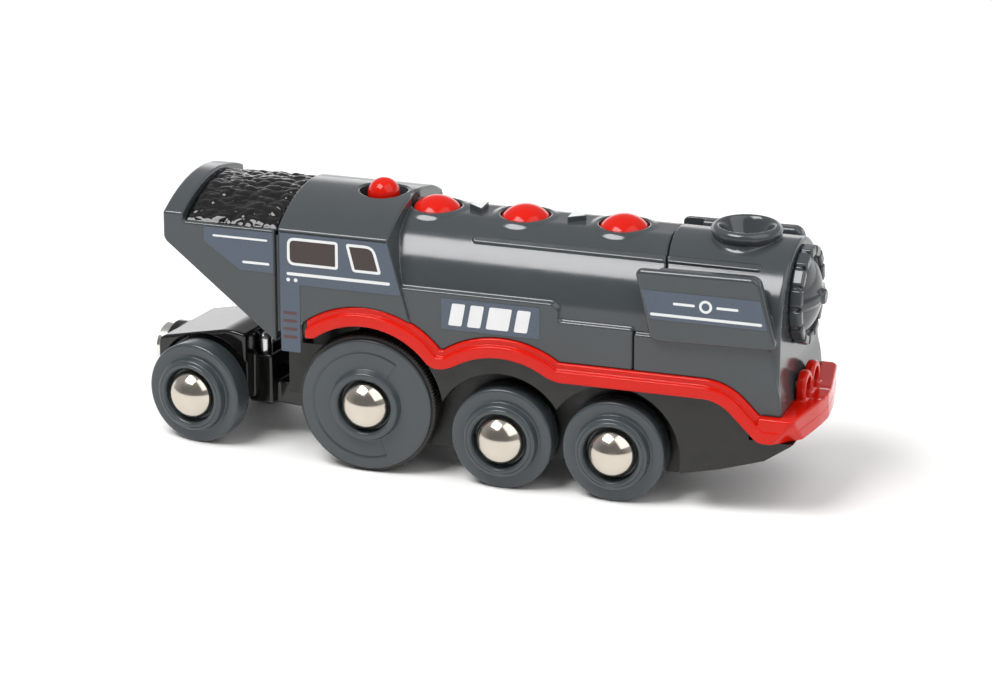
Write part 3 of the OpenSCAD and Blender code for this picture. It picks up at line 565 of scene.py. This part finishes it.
def front_field(x, y, z):
    """The front shell, hollow below the chimney, with its smoke deflectors."""
    ay = np.abs(y)
    outer = front_outer(x, y, z)
    shell = without(outer, both(outer + WALL, z - FRONT_INSIDE_Z, 0.2), 0.2)
    # bowl of the chimney, with four knobs and a hole in its floor
    off = hypot(x - CHIMNEY_X, y)
    bowl = both(off - BOWL_R - 0.48 * (z - BOWL_FLOOR), BOWL_FLOOR - z, 0.8)
    shell = without(shell, bowl, 0.5)
    for turn in (20, 110, 200, 290):
        knob_x = CHIMNEY_X + KNOB_RING * math.cos(math.radians(turn))
        knob_y = KNOB_RING * math.sin(math.radians(turn))
        knob = both(hypot(x - knob_x, y - knob_y) - KNOB_R, between(z, 48.2, 49.1), 0.25)
        shell = either(shell, knob, 0.2)
    shell = without(shell, both(off - BOWL_HOLE_R, 47.4 - z, 0.1), 0.2)
    for side in (-1, 1):
        bore = hypot(y - side * LUG_Y, z - LUG_Z) - LED_BORE_R
        shell = without(shell, both(bore, 60 - x, 0.1), 0.1)
    shell = without(shell, board_line(x, z) - BOARD_RISE, 0.3)
    shell = both(shell, BEAM_TOP + 0.05 - z, 0.1)
    shell = both(shell, seam_x(z) + GAP - x, 0.35)
    wing = both(convex(WING, x, z, 1.5), between(ay, 14.2, WING_Y), 0.85)
    # each wing leaves room for the rear shell beside the seam
    wing = without(wing, both(ay - TANK_Y - 0.15, x - 38.85, 0.1), 0.2)
    return either(shell, wing, 0.3)


front_shell = skin("front_shell_piece", front_field, (33.8, -WING_Y, BEAM_TOP),
                   (62.8, WING_Y, CHIMNEY_TOP), "body_grey", 0.33)
stands_for(front_shell, "locomotive", "front_shell")

# ---- tender ----

TENDER_X = corner("tender_shell", 0, 0)
TENDER_LOW, TENDER_EAVES, TENDER_TOP = 24.4, 48.7, 52.25
BAND_X, TONGUE_X = -55.2, -38
BED_Z = 47.1
SEAM = 0.6


def tender_outer(x, y, z):
    """The tender as if it were solid."""
    outline = [(CAB_X, 60), (TENDER_X, 60), (TENDER_X, 43), (-49.4, 34.7), (-36.5, TENDER_LOW),
               (CAB_X, TENDER_LOW)]
    side = convex(outline, x, z, 0.8)
    hull = roof(y, z, TENDER_Y, TENDER_EAVES, TENDER_TOP)
    return both(both(side, x - (CAB_X - SEAM), 0.35), hull, 0.7)


def tender_field(x, y, z):
    """The tender's shell, with the coal bed and the tongue that reaches into the cab."""
    ay = np.abs(y)
    outer = tender_outer(x, y, z)
    shell = without(outer, both(outer + WALL, z - (BED_Z - WALL), 0.2), 0.2)
    # the bed in front of the raised rear band
    shell = without(shell, both(BAND_X - x, BED_Z - z, 0.6), 0.4)
    tongue = both(between(x, TONGUE_X, CAB_X), ay - (TENDER_Y - 1), 0.1)
    tongue = both(tongue, between(z, 25.5, 46), 0.1)
    tongue = without(tongue, both(ay - (TENDER_Y - 2.5), z - 45, 0.1), 0.1)
    tongue = both(tongue, 0.8 - (x - TONGUE_X) * 0.66 - (z - 27) * 0.75, 0.1)
    return either(shell, tongue, 0.1)


tender_shell = skin("tender_shell_piece", tender_field, (TENDER_X, -TENDER_Y, TENDER_LOW),
                    (CAB_X, TENDER_Y, 52.8), "body_grey", 0.34)
stands_for(tender_shell, "locomotive", "tender_shell")

LUMPS, LUMP_SEED = 430, 11
COAL_TOP, COAL_RISE = 51.3, 4.0
COAL_FADE = 0.35


def coal_heights(x, y):
    """Lumps: each point takes the highest of many low mounds, longer along the bed than across."""
    rng = random.Random(LUMP_SEED)
    top = np.full(x.shape, -1.0)
    for _ in range(LUMPS):
        cx, cy = rng.uniform(BAND_X, CAB_X), rng.uniform(-TENDER_Y, TENDER_Y)
        long, wide = rng.uniform(1.1, 2.3), rng.uniform(0.8, 1.5)
        spin = rng.gauss(0, 0.5)
        lift, high = rng.uniform(-0.3, 0.3), rng.uniform(0.3, 0.6)
        lean = rng.uniform(-0.2, 0.2)
        dx, dy = x - cx, y - cy
        u = (dx * math.cos(spin) + dy * math.sin(spin)) / long
        v = (dy * math.cos(spin) - dx * math.sin(spin)) / wide
        mound = lift - 0.4 + high * (1 - np.maximum(u * u + v * v - 0.12, 0)) + lean * dx
        top = np.maximum(top, mound)
    return top


def coal_piece():
    """A closed slab of coal: an arched top with lumps, lower along its edges, on a flat bed."""
    low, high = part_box("coal_load")
    x0, x1, half = low.x / MM + 0.05, high.x / MM - 0.05, high.y / MM - 0.05
    xs, ys = np.linspace(x0, x1, 110), np.linspace(-half, half, 190)
    x, y = np.meshgrid(xs, ys, indexing="ij")
    arch = (half * half + COAL_RISE * COAL_RISE) / (2 * COAL_RISE)
    z = COAL_TOP - arch + np.sqrt(arch * arch - y * y) + coal_heights(x, y) * 0.9
    edge = np.minimum(np.minimum(half - np.abs(y), x - x0), x1 - x)
    z = np.minimum(z - 0.9 * np.exp(-edge / COAL_FADE), high.z / MM - 0.02)
    z = np.maximum(z, BED_Z + 0.02)
    floor = np.full(x.shape, BED_Z)
    points = np.concatenate([np.stack([x, y, level], -1).reshape(-1, 3) for level in (z, floor)])
    count = x.size
    index = np.arange(count).reshape(x.shape)
    quads = np.stack([index[:-1, :-1], index[1:, :-1], index[1:, 1:], index[:-1, 1:]], -1)
    quads = quads.reshape(-1, 4)
    faces = quads.tolist() + (quads[:, ::-1] + count).tolist()
    rim = [*index[:, 0], *index[-1, 1:], *index[-2::-1, -1], *index[0, -2:0:-1]]
    for a, b in zip(rim, rim[1:] + rim[:1]):
        faces.append([int(b), int(a), int(a) + count, int(b) + count])
    return make_mesh("coal_lumps", points, faces, "coal_black")


stands_for(coal_piece(), "locomotive", "coal_load")

# ---- smokebox door ----

DOOR_Z, DOOR_R, PLATE_DEPTH = 39.7, 8.9, 1.5
DOOR_FRONT = corner("smokebox_door", 1, 0)
CLAMPS, CLAMP_DEPTH = 14, 2.5


def door_field(x, y, z):
    """A plate with a shallow dome, clamps round its rim, a strap across it and a hub."""
    out, up = x - FRONT_FACE, z - DOOR_Z
    off = hypot(y, up)
    plate = both(off - DOOR_R, between(out, 0, PLATE_DEPTH), 0.35)
    ball = hypot(off, out + 7.4) - 11.4
    door = either(plate, both(ball, off - 8.0, 0.4), 0.5)
    angle = np.arctan2(y, up)
    pitch = 2 * math.pi / CLAMPS
    turn = (angle + pitch / 2) % pitch - pitch / 2
    radial, around = off * np.cos(turn), off * np.sin(turn)
    clamp = both(np.abs(around) - 1.6, between(radial, 7.4, 9.3), 0.4)
    door = either(door, both(clamp, between(out, 0, CLAMP_DEPTH), 0.5), 0.3)
    strap = both(np.abs(up + 0.1) - 0.8, np.abs(y) - 7.8, 0.4)
    door = either(door, both(strap, ball - 0.5, 0.4), 0.6)
    hub = both(off - 1.5, out - (DOOR_FRONT - FRONT_FACE), 0.5)
    return both(either(door, hub, 0.5), -out, 0.1)


door = skin("smokebox_door_piece", door_field, (FRONT_FACE, -9.6, DOOR_Z - 9.6),
            (DOOR_FRONT, 9.6, DOOR_Z + 9.6), "body_grey", 0.26)
stands_for(door, "locomotive", "smokebox_door")

# ---- lathed pieces ----


def arc(centre, radius, start, end, count=6):
    """Points on an arc, angles in degrees."""
    for k in range(count + 1):
        angle = math.radians(start + (end - start) * k / count)
        yield (centre[0] + radius * math.cos(angle), centre[1] + radius * math.sin(angle))


def lathe(name, profile, material, axis_point, direction, count=128, shift=None):
    """Turns a profile of (radius, height) points round an axis.

    shift, where given, takes radius, height and angle, and returns what is added to the first two.
    """
    direction = Vector(direction).normalized()
    side = direction.orthogonal().normalized()
    if abs(direction.z) < 0.5:
        side = Vector((0, 0, 1))
    other = direction.cross(side)
    frame_axes = np.array([side, other, direction])
    angles = np.arange(count) * 2 * math.pi / count
    rows = []
    for radius, height in profile:
        if radius < 1e-6:
            rows.append(np.array([[0, 0, height]]))
            continue
        lift = np.array([shift(radius, height, a) if shift else (0.0, 0.0) for a in angles])
        r = radius + lift[:, 0]
        rows.append(np.stack([r * np.cos(angles), r * np.sin(angles), height + lift[:, 1]], 1))
    starts = np.cumsum([0] + [len(row) for row in rows])
    points = np.concatenate(rows) @ frame_axes + np.array(axis_point)
    faces = []
    for k in range(len(rows) - 1):
        a, b = starts[k], starts[k + 1]
        one, two = len(rows[k]) == 1, len(rows[k + 1]) == 1
        for j in range(count):
            n = (j + 1) % count
            if one:
                faces.append([int(b + n), int(b + j), int(a)])
            elif two:
                faces.append([int(a + j), int(a + n), int(b)])
            else:
                faces.append([int(a + j), int(a + n), int(b + n), int(b + j)])
    return make_mesh(name, points, faces, material)


def bend(start, corner_point, end, count):
    """Points on the curve that replaces a sharp corner."""
    return [tuple((1 - t) ** 2 * start + 2 * t * (1 - t) * corner_point + t * t * end)
            for t in (k / count for k in range(count + 1))]


def bevelled(points, radius, count=4):
    """A profile whose corners are rounded, except at its ends. A point may carry its own radius."""
    out = []
    for k, point in enumerate(points):
        own = point[2] if len(point) > 2 else radius
        if k in (0, len(points) - 1) or own == 0:
            out.append((point[0], point[1]))
            continue
        here = np.array(point[:2], float)
        before, after = np.array(points[k - 1][:2], float), np.array(points[k + 1][:2], float)
        a, b = before - here, after - here
        la, lb = np.linalg.norm(a), np.linalg.norm(b)
        reach = min(own, la * 0.48, lb * 0.48)
        start, end = here + a / la * reach, here + b / lb * reach
        out += bend(start, here, end, count)
    return out


def small_wheel_profile(inner, outer, ring):
    """From the axle on the inner face round the tread and the hub ring to the cap's recess."""
    return bevelled([
        (1.5, inner), (7.2, inner, 0.3), (8, inner + 0.5, 0.3), (9, inner, 0.3),
        (10, inner + 0.05, 0.6), (10, outer - 0.02, 0.75), (7.9, outer - 0.1, 0.3),
        (7.35, outer - 0.15, 0.3), (7.1, ring - 0.25, 0.55), (6.5, ring - 0.08, 0.1),
        (6.42, ring - 0.2, 0.08), (6.3, ring - 0.05, 0.1), (5.75, ring, 0.35),
        (5.4, ring - 0.45, 0.2), (5.2, outer - 0.4, 0.2), (1.5, outer - 0.4),
    ], 0.3, 5)


CAP_R, CAP_SINK, CAP_RISE = 4.7, 0.6, 2.8


def cap_profile(seat, ring):
    """A cap with its rim a little below the hub ring, and a dome on it."""
    tip = ring - CAP_SINK + CAP_RISE
    ball = (CAP_R * CAP_R + CAP_RISE * CAP_RISE) / (2 * CAP_RISE)
    limit = math.degrees(math.asin(CAP_R / ball))
    dome = list(arc((0, tip - ball), ball, 90 - limit, 90, 24))
    skirt = [(0, seat), (CAP_R - 0.1, seat), (CAP_R, seat + 0.1), (CAP_R, ring - CAP_SINK - 0.25)]
    return skirt + dome[1:-1] + [(0, tip)]


def both_ends(name, profile, material, x, y, z, yaw=0.0, **options):
    """The same lathed piece at each end of an axle."""
    ends = []
    for side in (-1, 1):
        direction = (-side * math.sin(yaw), side * math.cos(yaw), 0)
        ends.append(lathe(f"{name}_{'right' if side < 0 else 'left'}", profile, material,
                          (x, y, z), direction, **options))
    return ends


def wheels(kind, body, x, y, yaw, inner, outer, ring):
    """A pair of small wheels with their caps."""
    profile = small_wheel_profile(inner, outer, ring)
    for piece in both_ends(kind + "_wheel", profile, "wheel_grey", x, y, WHEEL_Z, yaw):
        stands_for(piece, body, kind + "_wheels")
    profile = cap_profile(outer - 0.4, ring)
    for piece in both_ends(kind + "_cap", profile, "hub_chrome", x, y, WHEEL_Z, yaw):
        stands_for(piece, body, kind + "_hub_caps")


WHEEL_IN, WHEEL_OUT, WHEEL_RING = 10.6, 15.6, 17.3
TRUCK_IN, TRUCK_OUT, TRUCK_RING = 9.9, 14.6, 16.3
wheels("middle", "middle_wheelset", MIDDLE_X, 0, 0, WHEEL_IN, WHEEL_OUT, WHEEL_RING)
wheels("front", "front_wheelset", FRONT_X, 0, 0, WHEEL_IN, WHEEL_OUT, WHEEL_RING)
wheels("truck", "truck_wheelset", TRUCK_X, TRUCK_Y, TRUCK_YAW, TRUCK_IN, TRUCK_OUT, TRUCK_RING)

# driving wheels: a plain face with a parting line round two thirds of it
GROOVE_R = 10.45
GROOVE = (math.radians(54), math.radians(293))
DRIVE_RING = 17
DRIVE_FACE, DRIVE_RECESS = 15.6, 15.05


def groove_shift(radius, height, angle):
    """Depth of the parting line: an arc, and a line in from each of its ends to the hub ring."""
    if height < 15.5:
        return 0.0, 0.0
    turn = (math.pi / 2 + angle) % (2 * math.pi)
    inside = GROOVE[0] <= turn <= GROOVE[1]
    if abs(radius - GROOVE_R) < 0.05 and inside:
        return 0.0, -0.22
    for end in GROOVE:
        off = (turn - end + math.pi) % (2 * math.pi) - math.pi
        if abs(off) * radius < 0.13 and 7.2 < radius < GROOVE_R:
            return 0.0, -0.16
    return 0.0, 0.0


face = [(r, DRIVE_FACE) for r in np.linspace(7.4, 10.25, 8)]
face += [(GROOVE_R + off, DRIVE_FACE) for off in (-0.12, 0, 0.12)]
face += [(11.2, 15.58), (12.2, 15.5)]
hub = bevelled([(7.2, DRIVE_FACE), (7.05, 15.8, 0.2), (6.6, DRIVE_RING, 0.3),
                (5.6, DRIVE_RING, 0.25), (5.25, DRIVE_RING - 0.4, 0.2), (5.2, DRIVE_RECESS, 0.2),
                (1.5, DRIVE_RECESS)], 0.25)
rim = bevelled([(1.5, 10.6), (12.9, 10.6, 0.3), (13.3, 11.0, 0.1), (12.62, 11.05, 0.05),
                (12.62, 14.75, 0.05), (12.98, 14.8, 0.1), (12.98, 15.4, 0.4), (12.4, 15.5)], 0.2)
drive_profile = rim + face[::-1] + hub
for piece in both_ends("drive_wheel", drive_profile, "wheel_grey", DRIVE_X, 0, DRIVE_Z,
                       count=288, shift=groove_shift):
    stands_for(piece, "drive_wheelset", "drive_wheels")
drive_cap = cap_profile(15, DRIVE_RING)
for piece in both_ends("drive_cap", drive_cap, "hub_chrome", DRIVE_X, 0, DRIVE_Z):
    stands_for(piece, "drive_wheelset", "drive_hub_caps")

TYRE_R = (corner("drive_tyres", 1, 2) - corner("drive_tyres", 0, 2)) / 2
TEETH, TOOTH_DEPTH = 140, 0.24


def tread(radius, height, angle):
    """Ribs across the tyre's tread."""
    if radius < 13.3:
        return 0.0, 0.0
    wave = abs((angle * TEETH / (2 * math.pi)) % 1 - 0.5) * 2
    return -TOOTH_DEPTH * wave, 0.0


tyre_profile = bevelled([(12.64, 11.05), (13.5, 11.05, 0.1), (TYRE_R, 11.3, 0.2),
                         (TYRE_R, 14.5, 0.2), (13.5, 14.78, 0.1), (12.64, 14.78), (12.64, 11.05)],
                        0.1, 2)
for piece in both_ends("tyre", tyre_profile, "tyre_rubber", DRIVE_X, 0, DRIVE_Z,
                       count=TEETH * 6, shift=tread):
    stands_for(piece, "drive_wheelset", "drive_tyres")

# ---- buttons ----


def dome_profile():
    """A flanged key with a lens-shaped top."""
    radius, height, top_z = 4.65, 2.3, 51.8
    ball = (radius * radius + height * height) / (2 * height)
    limit = math.asin(radius / ball)
    low = [(0, 46.4), (5.0, 46.4, 0.2), (5.15, 46.6, 0.1), (5.15, 47.3, 0.1), (radius, 47.35, 0.1),
           (radius, 49.3, 0.15)]
    lean = [limit * (1 - k / 16) for k in range(17)]
    top = [(ball * math.sin(a), top_z - ball + ball * math.cos(a)) for a in lean]
    return bevelled(low, 0.1, 3) + top[1:]


UP = (0, 0, 1)
for key, dome_x in BUTTON_X.items():
    button = lathe(key + "_dome", dome_profile(), "red_plastic", (dome_x, 0, 0), UP, count=96)
    stands_for(button, key + "_key", key + "_button")

BALL_R = 3.13
BALL_Z = corner("whistle_button", 1, 2) - BALL_R
ball_profile = [(0, 45), (2.4, 45), (2.4, 45.8), (1.6, 45.9), (1.6, 47.5), (1.75, 48.2)]
ball_profile += [(BALL_R * math.cos(a), BALL_Z + BALL_R * math.sin(a))
                 for a in map(math.radians, range(-54, 90, 6))] + [(0, BALL_Z + BALL_R)]
ball = lathe("whistle_ball", ball_profile, "red_plastic", (BALL_X, 0, 0), UP, count=96)
stands_for(ball, "whistle_key", "whistle_button")

# ---- rear truck ----


def on_truck(points, shifted=True):
    """Turns points, or normals, from straight behind the pivot to the truck's place."""
    cos, sin = math.cos(TRUCK_YAW), math.sin(TRUCK_YAW)
    turned = np.stack([points[:, 0] * cos - points[:, 1] * sin,
                       points[:, 0] * sin + points[:, 1] * cos, points[:, 2]], 1)
    return turned + np.array([PIVOT_X, 0, 0]) if shifted else turned


TRUCK_AXLE = -math.hypot(TRUCK_X - PIVOT_X, TRUCK_Y)
TRUCK_HALF, TRUCK_REAR = 9.5, -32.6
TRUCK_LOW, ARM_TOP, MAGNET_Z = 7.2, 11.8, 13.4
TRUCK_ARCH_R, EYE_R, AXLE_HOLE_R, RIVET_HOLE_R, PIVOT_HOLE_R = 10.6, 3.8, 1.55, 1.1, 2.05


def truck_field(x, y, z):
    """The truck's frame, straight behind its pivot: a box over the wheels, an arm and an eye."""
    ay = np.abs(y)
    outline = [(-12.6, 8.6), (-12.6, 22.0), (-16.6, 22.4), (-32, 18.5), (TRUCK_REAR, 17.8),
               (TRUCK_REAR, 8.6)]
    side = convex(outline, x, z, 0.6)
    frame_box = both(side, ay - TRUCK_HALF, 0.6)
    # the sides are cut away round the wheels under a thick top
    arch = both(hypot(x - TRUCK_AXLE, z - WHEEL_Z) - TRUCK_ARCH_R, 8.9 - ay, 0.3)
    frame_box = without(frame_box, arch, 0.3)
    inner_x = TRUCK_REAR + 1.7
    inner = convex([(-14.4, 0), (-14.4, 20.4), (-16.6, 20.6), (inner_x, 17), (inner_x, 0)],
                   x, z, 0.4)
    frame_box = without(frame_box, both(inner, ay - 8.0, 0.4), 0.2)
    block = both(both(between(x, -14, -8.4), ay - 6.5, 0.6), between(z, TRUCK_LOW, 17.5), 0.6)
    arm = both(both(between(x, -14, 0), ay - 4.6, 0.5), between(z, TRUCK_LOW, ARM_TOP), 0.5)
    eye = both(hypot(x, y) - EYE_R, between(z, TRUCK_LOW, ARM_TOP), 0.4)
    frame_box = either(either(frame_box, block, 0.6), either(arm, eye, 0.6), 0.6)
    holder = both(hypot(y, z - MAGNET_Z) - 5, between(x, TRUCK_REAR - 1.8, TRUCK_REAR + 0.5), 0.4)
    frame_box = either(frame_box, holder, 0.5)
    # holes for the axle, the rivet and the pivot screw
    frame_box = without(frame_box, hypot(x - TRUCK_AXLE, z - WHEEL_Z) - AXLE_HOLE_R, 0.15)
    rivet = both(hypot(y, z - MAGNET_Z) - RIVET_HOLE_R, x + 20, 0.1)
    frame_box = without(frame_box, rivet, 0.15)
    return without(frame_box, hypot(x, y) - PIVOT_HOLE_R, 0.2)


truck = skin("truck_frame_piece", truck_field, (-34.8, -TRUCK_HALF, TRUCK_LOW),
             (EYE_R, TRUCK_HALF, 24.8), "truck_black", 0.34, turn=on_truck)
stands_for(truck, "rear_truck", "truck_frame")

# ---- raised arrows on the ridge ----


def rounded(points, radius, count=5):
    """A closed outline with rounded corners. A point may carry its own radius."""
    out = []
    total = len(points)
    for k, point in enumerate(points):
        own = point[2] if len(point) > 2 else radius
        here = np.array(point[:2], float)
        a = np.array(points[k - 1][:2], float) - here
        b = np.array(points[(k + 1) % total][:2], float) - here
        la, lb = np.linalg.norm(a), np.linalg.norm(b)
        reach = min(own, la * 0.49, lb * 0.49)
        if reach < 0.01:
            out.append(tuple(here))
            continue
        start, end = here + a / la * reach, here + b / lb * reach
        out += bend(start, here, end, count)
    return out


ARROW_TOP, ARROW_LONG, ARROW_HALF, ARROW_BEVEL = 50.9, 3.1, 2.3, 0.12


def arrows():
    """Two raised triangles with white tops, pointing to the outer two domes."""
    points, faces = [], []
    for x, ahead in ((0.0, -1), (17.0, 1)):
        tips = [(x, -ARROW_HALF), (x + ARROW_LONG * ahead, 0), (x, ARROW_HALF)]
        outline = rounded(tips[::ahead], 0.15, 3)
        first, count = len(points), len(outline)
        # the foot, the top of the sides, and the top face drawn in a little towards its middle
        for z, draw in ((FLAT_Z - 0.4, 0), (ARROW_TOP - ARROW_BEVEL, 0), (ARROW_TOP, 0.05)):
            points += [(u + (x + ahead - u) * draw, v - v * draw, z) for u, v in outline]
        for level in range(2):
            base = first + level * count
            for k in range(count):
                n = (k + 1) % count
                faces.append([base + k, base + n, base + n + count, base + k + count])
        faces.append(list(range(first + 2 * count, first + 3 * count)))
        faces.append(list(range(first, first + count))[::-1])
    piece = make_mesh("ridge_arrows", points, faces, "body_grey", smooth=False)
    piece.data.materials.append(MATERIALS["print_white"])
    for face in piece.data.polygons:
        face.material_index = int(face.normal.z > 0.9)
    return stands_for(piece, "locomotive", "rear_shell")


arrows()

# ---- printed labels ----

LABEL_FILM, PRINT_LIFT = 0.09, 0.025


def sheet_faces(outline, y0, y1, side):
    """Points and faces of a flat plate in the XZ plane, from y0 out to y1 on one side."""
    count = len(outline)
    points = [(u, side * y, v) for y in (y0, y1) for u, v in outline]
    out = list(range(count, 2 * count))
    faces = [out, list(range(count))[::-1]]
    faces += [[k, (k + 1) % count, (k + 1) % count + count, k + count] for k in range(count)]
    return points, faces if side < 0 else [face[::-1] for face in faces]


def anticlockwise(points):
    """The outline, turned round if it runs clockwise."""
    area = sum(points[k - 1][0] * p[1] - p[0] * points[k - 1][1] for k, p in enumerate(points))
    return points if area > 0 else points[::-1]


def printed(name, layers, y):
    """One label on both sides: plates laid on each other, each (outline, material, layer)."""
    used = list(dict.fromkeys(material for _, material, _ in layers))
    points, faces, slots = [], [], []
    for side in (-1, 1):
        for outline, material, layer in layers:
            low = y if layer == 0 else y + LABEL_FILM + PRINT_LIFT * (layer - 1)
            high = y + LABEL_FILM + PRINT_LIFT * layer
            plate, plate_faces = sheet_faces(anticlockwise(outline), low, high, side)
            faces += [[index + len(points) for index in face] for face in plate_faces]
            slots += [used.index(material)] * len(plate_faces)
            points += plate
    piece = make_mesh(name, points, faces, used[0], smooth=False)
    for material in used[1:]:
        piece.data.materials.append(MATERIALS[material])
    piece.data.polygons.foreach_set("material_index", slots)
    return stands_for(piece, "locomotive", "side_labels")


def bar(x0, z0, x1, z1, thick):
    """A stripe with round ends."""
    length = math.hypot(x1 - x0, z1 - z0)
    ux, uz = (x1 - x0) / length, (z1 - z0) / length
    r = thick / 2
    out = []
    for centre, start in (((x1, z1), -90), ((x0, z0), 90)):
        for k in range(7):
            a = math.radians(start + 30 * k)
            out.append((centre[0] + r * (ux * math.cos(a) - uz * math.sin(a)),
                        centre[1] + r * (uz * math.cos(a) + ux * math.sin(a))))
    return out


def dot(x, z, radius, count=20):
    """A round outline."""
    return [(x + radius * math.cos(a), z + radius * math.sin(a))
            for a in (2 * math.pi * k / count for k in range(count))]


def grown(points, by):
    """An outline moved outwards by a distance, corner by corner."""
    points = anticlockwise(points)
    out = []
    for k, p in enumerate(points):
        a, b = np.array(points[k - 1][:2]), np.array(points[(k + 1) % len(points)][:2])
        here = np.array(p[:2])
        e0, e1 = here - a, b - here
        n0 = np.array([e0[1], -e0[0]]) / np.linalg.norm(e0)
        n1 = np.array([e1[1], -e1[0]]) / np.linalg.norm(e1)
        lean = (n0 + n1) / (1 + n0 @ n1)
        extra = (p[2] + by,) if len(p) > 2 else ()
        out.append((*(here + lean * by), *extra))
    return out


WINDOW_FRAME = 0.55


def window(points):
    """A brown pane in a white frame."""
    return [(rounded(grown(points, WINDOW_FRAME), 0.75), "print_white", 1),
            (rounded(points, 0.3), "window_brown", 2)]


cab_label = [(-35.5, 46.9, 0.4), (-35.5, 23.2, 0.3), (-31.6, 23.2, 0.3), (-31.6, 36.8, 0.1),
             (-11.4, 36.8, 0.6), (-14.1, 46.9, 0.4)]
layers = [(rounded(cab_label, 0.3), "label_film", 0)]
layers += window([(-33.5, 45.6, 1.0), (-33.5, 41.2, 1.0), (-24.4, 41.2, 0.1), (-24.4, 45.6, 0.1)])
layers += window([(-21.6, 45.5, 0.1), (-20.5, 41.1, 0.1), (-15.9, 41.1, 0.2), (-17.1, 45.5, 1.2)])
layers.append((bar(-33.9, 38.9, -13.8, 38.9, 0.6), "print_white", 1))
layers += [(dot(x, 37.7, 0.38), "print_white", 1) for x in (-33.9, -32.4)]
layers += [(bar(-34.7, z, -32.5, z, 0.6), "bar_red", 1) for z in (31.0, 29.4, 27.8, 26.2)]
printed("cab_labels", layers, CAB_SIDE_Y)

tender_label = [(-50.9, 46.6, 0.5), (-50.9, 43.6, 0.4), (-43.6, 38.6, 0.4), (-36.9, 38.6, 0.2),
                (-36.9, 46.6, 0.2)]
layers = [(rounded(tender_label, 0.3), "label_film", 0),
          (bar(-42.9, 40.3, -37.9, 40.3, 0.5), "print_white", 1),
          (bar(-48.9, 45.0, -38.2, 45.0, 0.4), "print_white", 1)]
printed("tender_labels", layers, TENDER_Y)

tank_plate = [(-3.6, 37.1), (-3.6, 30.9), (15.8, 30.9), (15.8, 37.1)]
layers = [(rounded(tank_plate, 0.4), "label_film", 0)]
# a row of slanted blocks, each with its left edge and its width
BLOCK_LOW, BLOCK_HIGH, SLANT = 31.8, 36.2, 0.8
for left, wide in ((-2.2, 2.6), (1.5, 2.6), (5.2, 4.4), (10.7, 2.6)):
    block = [(left, BLOCK_LOW), (left + wide, BLOCK_LOW), (left + wide + SLANT, BLOCK_HIGH),
             (left + SLANT, BLOCK_HIGH)]
    layers.append((rounded(block, 0.35), "print_white", 1))
printed("tank_labels", layers, TANK_Y)

wing_label = [(35.9, 43.5, 0.3), (37.5, 37.9, 0.5), (60.0, 37.9, 0.5), (58.5, 43.5, 0.3)]
layers = [(rounded(wing_label, 0.4), "label_film", 0),
          (bar(37.9, 38.9, 58.7, 38.9, 0.55), "print_white", 1),
          (dot(48.2, 41.3, 1.25, 32), "print_white", 1),
          (dot(48.2, 41.3, 0.75, 32), "label_film", 2),
          (bar(42.2, 41.3, 45.9, 41.3, 0.5), "print_white", 1),
          (bar(50.5, 41.3, 54.2, 41.3, 0.5), "print_white", 1)]
printed("wing_labels", layers, WING_Y)

# ---- floor, light ----


def floor():
    """A plain pale floor."""
    bpy.ops.mesh.primitive_plane_add(size=12, location=(0, 0, 0))
    ground = bpy.context.object
    ground.name = "floor"
    material, tree, principled = shader("floor_white", Roughness=0.55)
    cloud = ramp(tree, noise(tree, 3, 2), 0, 1)
    tree.links.new(tint(tree, cloud, (0.93, 0.925, 0.91), (0.95, 0.945, 0.93)),
                   principled.inputs["Base Color"])
    ground.data.materials.append(material)


def softbox(name, direction, distance, width, height, power):
    """A rectangular lamp that faces the object."""
    light = bpy.data.lights.new(name, "AREA")
    light.shape = "RECTANGLE"
    light.size, light.size_y = width, height
    light.energy = power
    thing = bpy.data.objects.new(name, light)
    bpy.context.scene.collection.objects.link(thing)
    towards = Vector(direction).normalized()
    thing.location = towards * distance
    thing.rotation_euler = towards.to_track_quat("Z", "Y").to_euler()


def studio():
    """A grey room with a bright sweep low down behind the object, a key light and a weak fill."""
    world = bpy.data.worlds.new("studio")
    bpy.context.scene.world = world
    world.use_nodes = True
    tree = world.node_tree
    background = tree.nodes["Background"]
    where = tree.nodes.new("ShaderNodeTexCoord")
    split = tree.nodes.new("ShaderNodeSeparateXYZ")
    tree.links.new(where.outputs["Generated"], split.inputs[0])
    behind = ramp(tree, split.outputs["Y"], 0, 1, 0.0, 0.5)
    low = ramp(tree, split.outputs["Z"], 1, 0, 0.14, 0.30)
    sweep = tree.nodes.new("ShaderNodeMath")
    sweep.operation = "MULTIPLY"
    tree.links.new(behind, sweep.inputs[0])
    tree.links.new(low, sweep.inputs[1])
    tree.links.new(tint(tree, sweep.outputs[0], (0.43, 0.43, 0.44), (1.7, 1.7, 1.7)),
                   background.inputs["Color"])
    # the room is darker on the camera's side
    strength = ramp(tree, split.outputs["Y"], 0.5, 1.1, -0.7, -0.1)
    tree.links.new(strength, background.inputs["Strength"])
    softbox("key", (-0.31, -0.405, 0.86), 1.1, 0.66, 0.47, 12)
    softbox("fill", (0.62, -0.25, 0.74), 1.15, 1.1, 1.1, 6.6)


floor()
studio()
bpy.context.scene.view_settings.view_transform = "Standard"
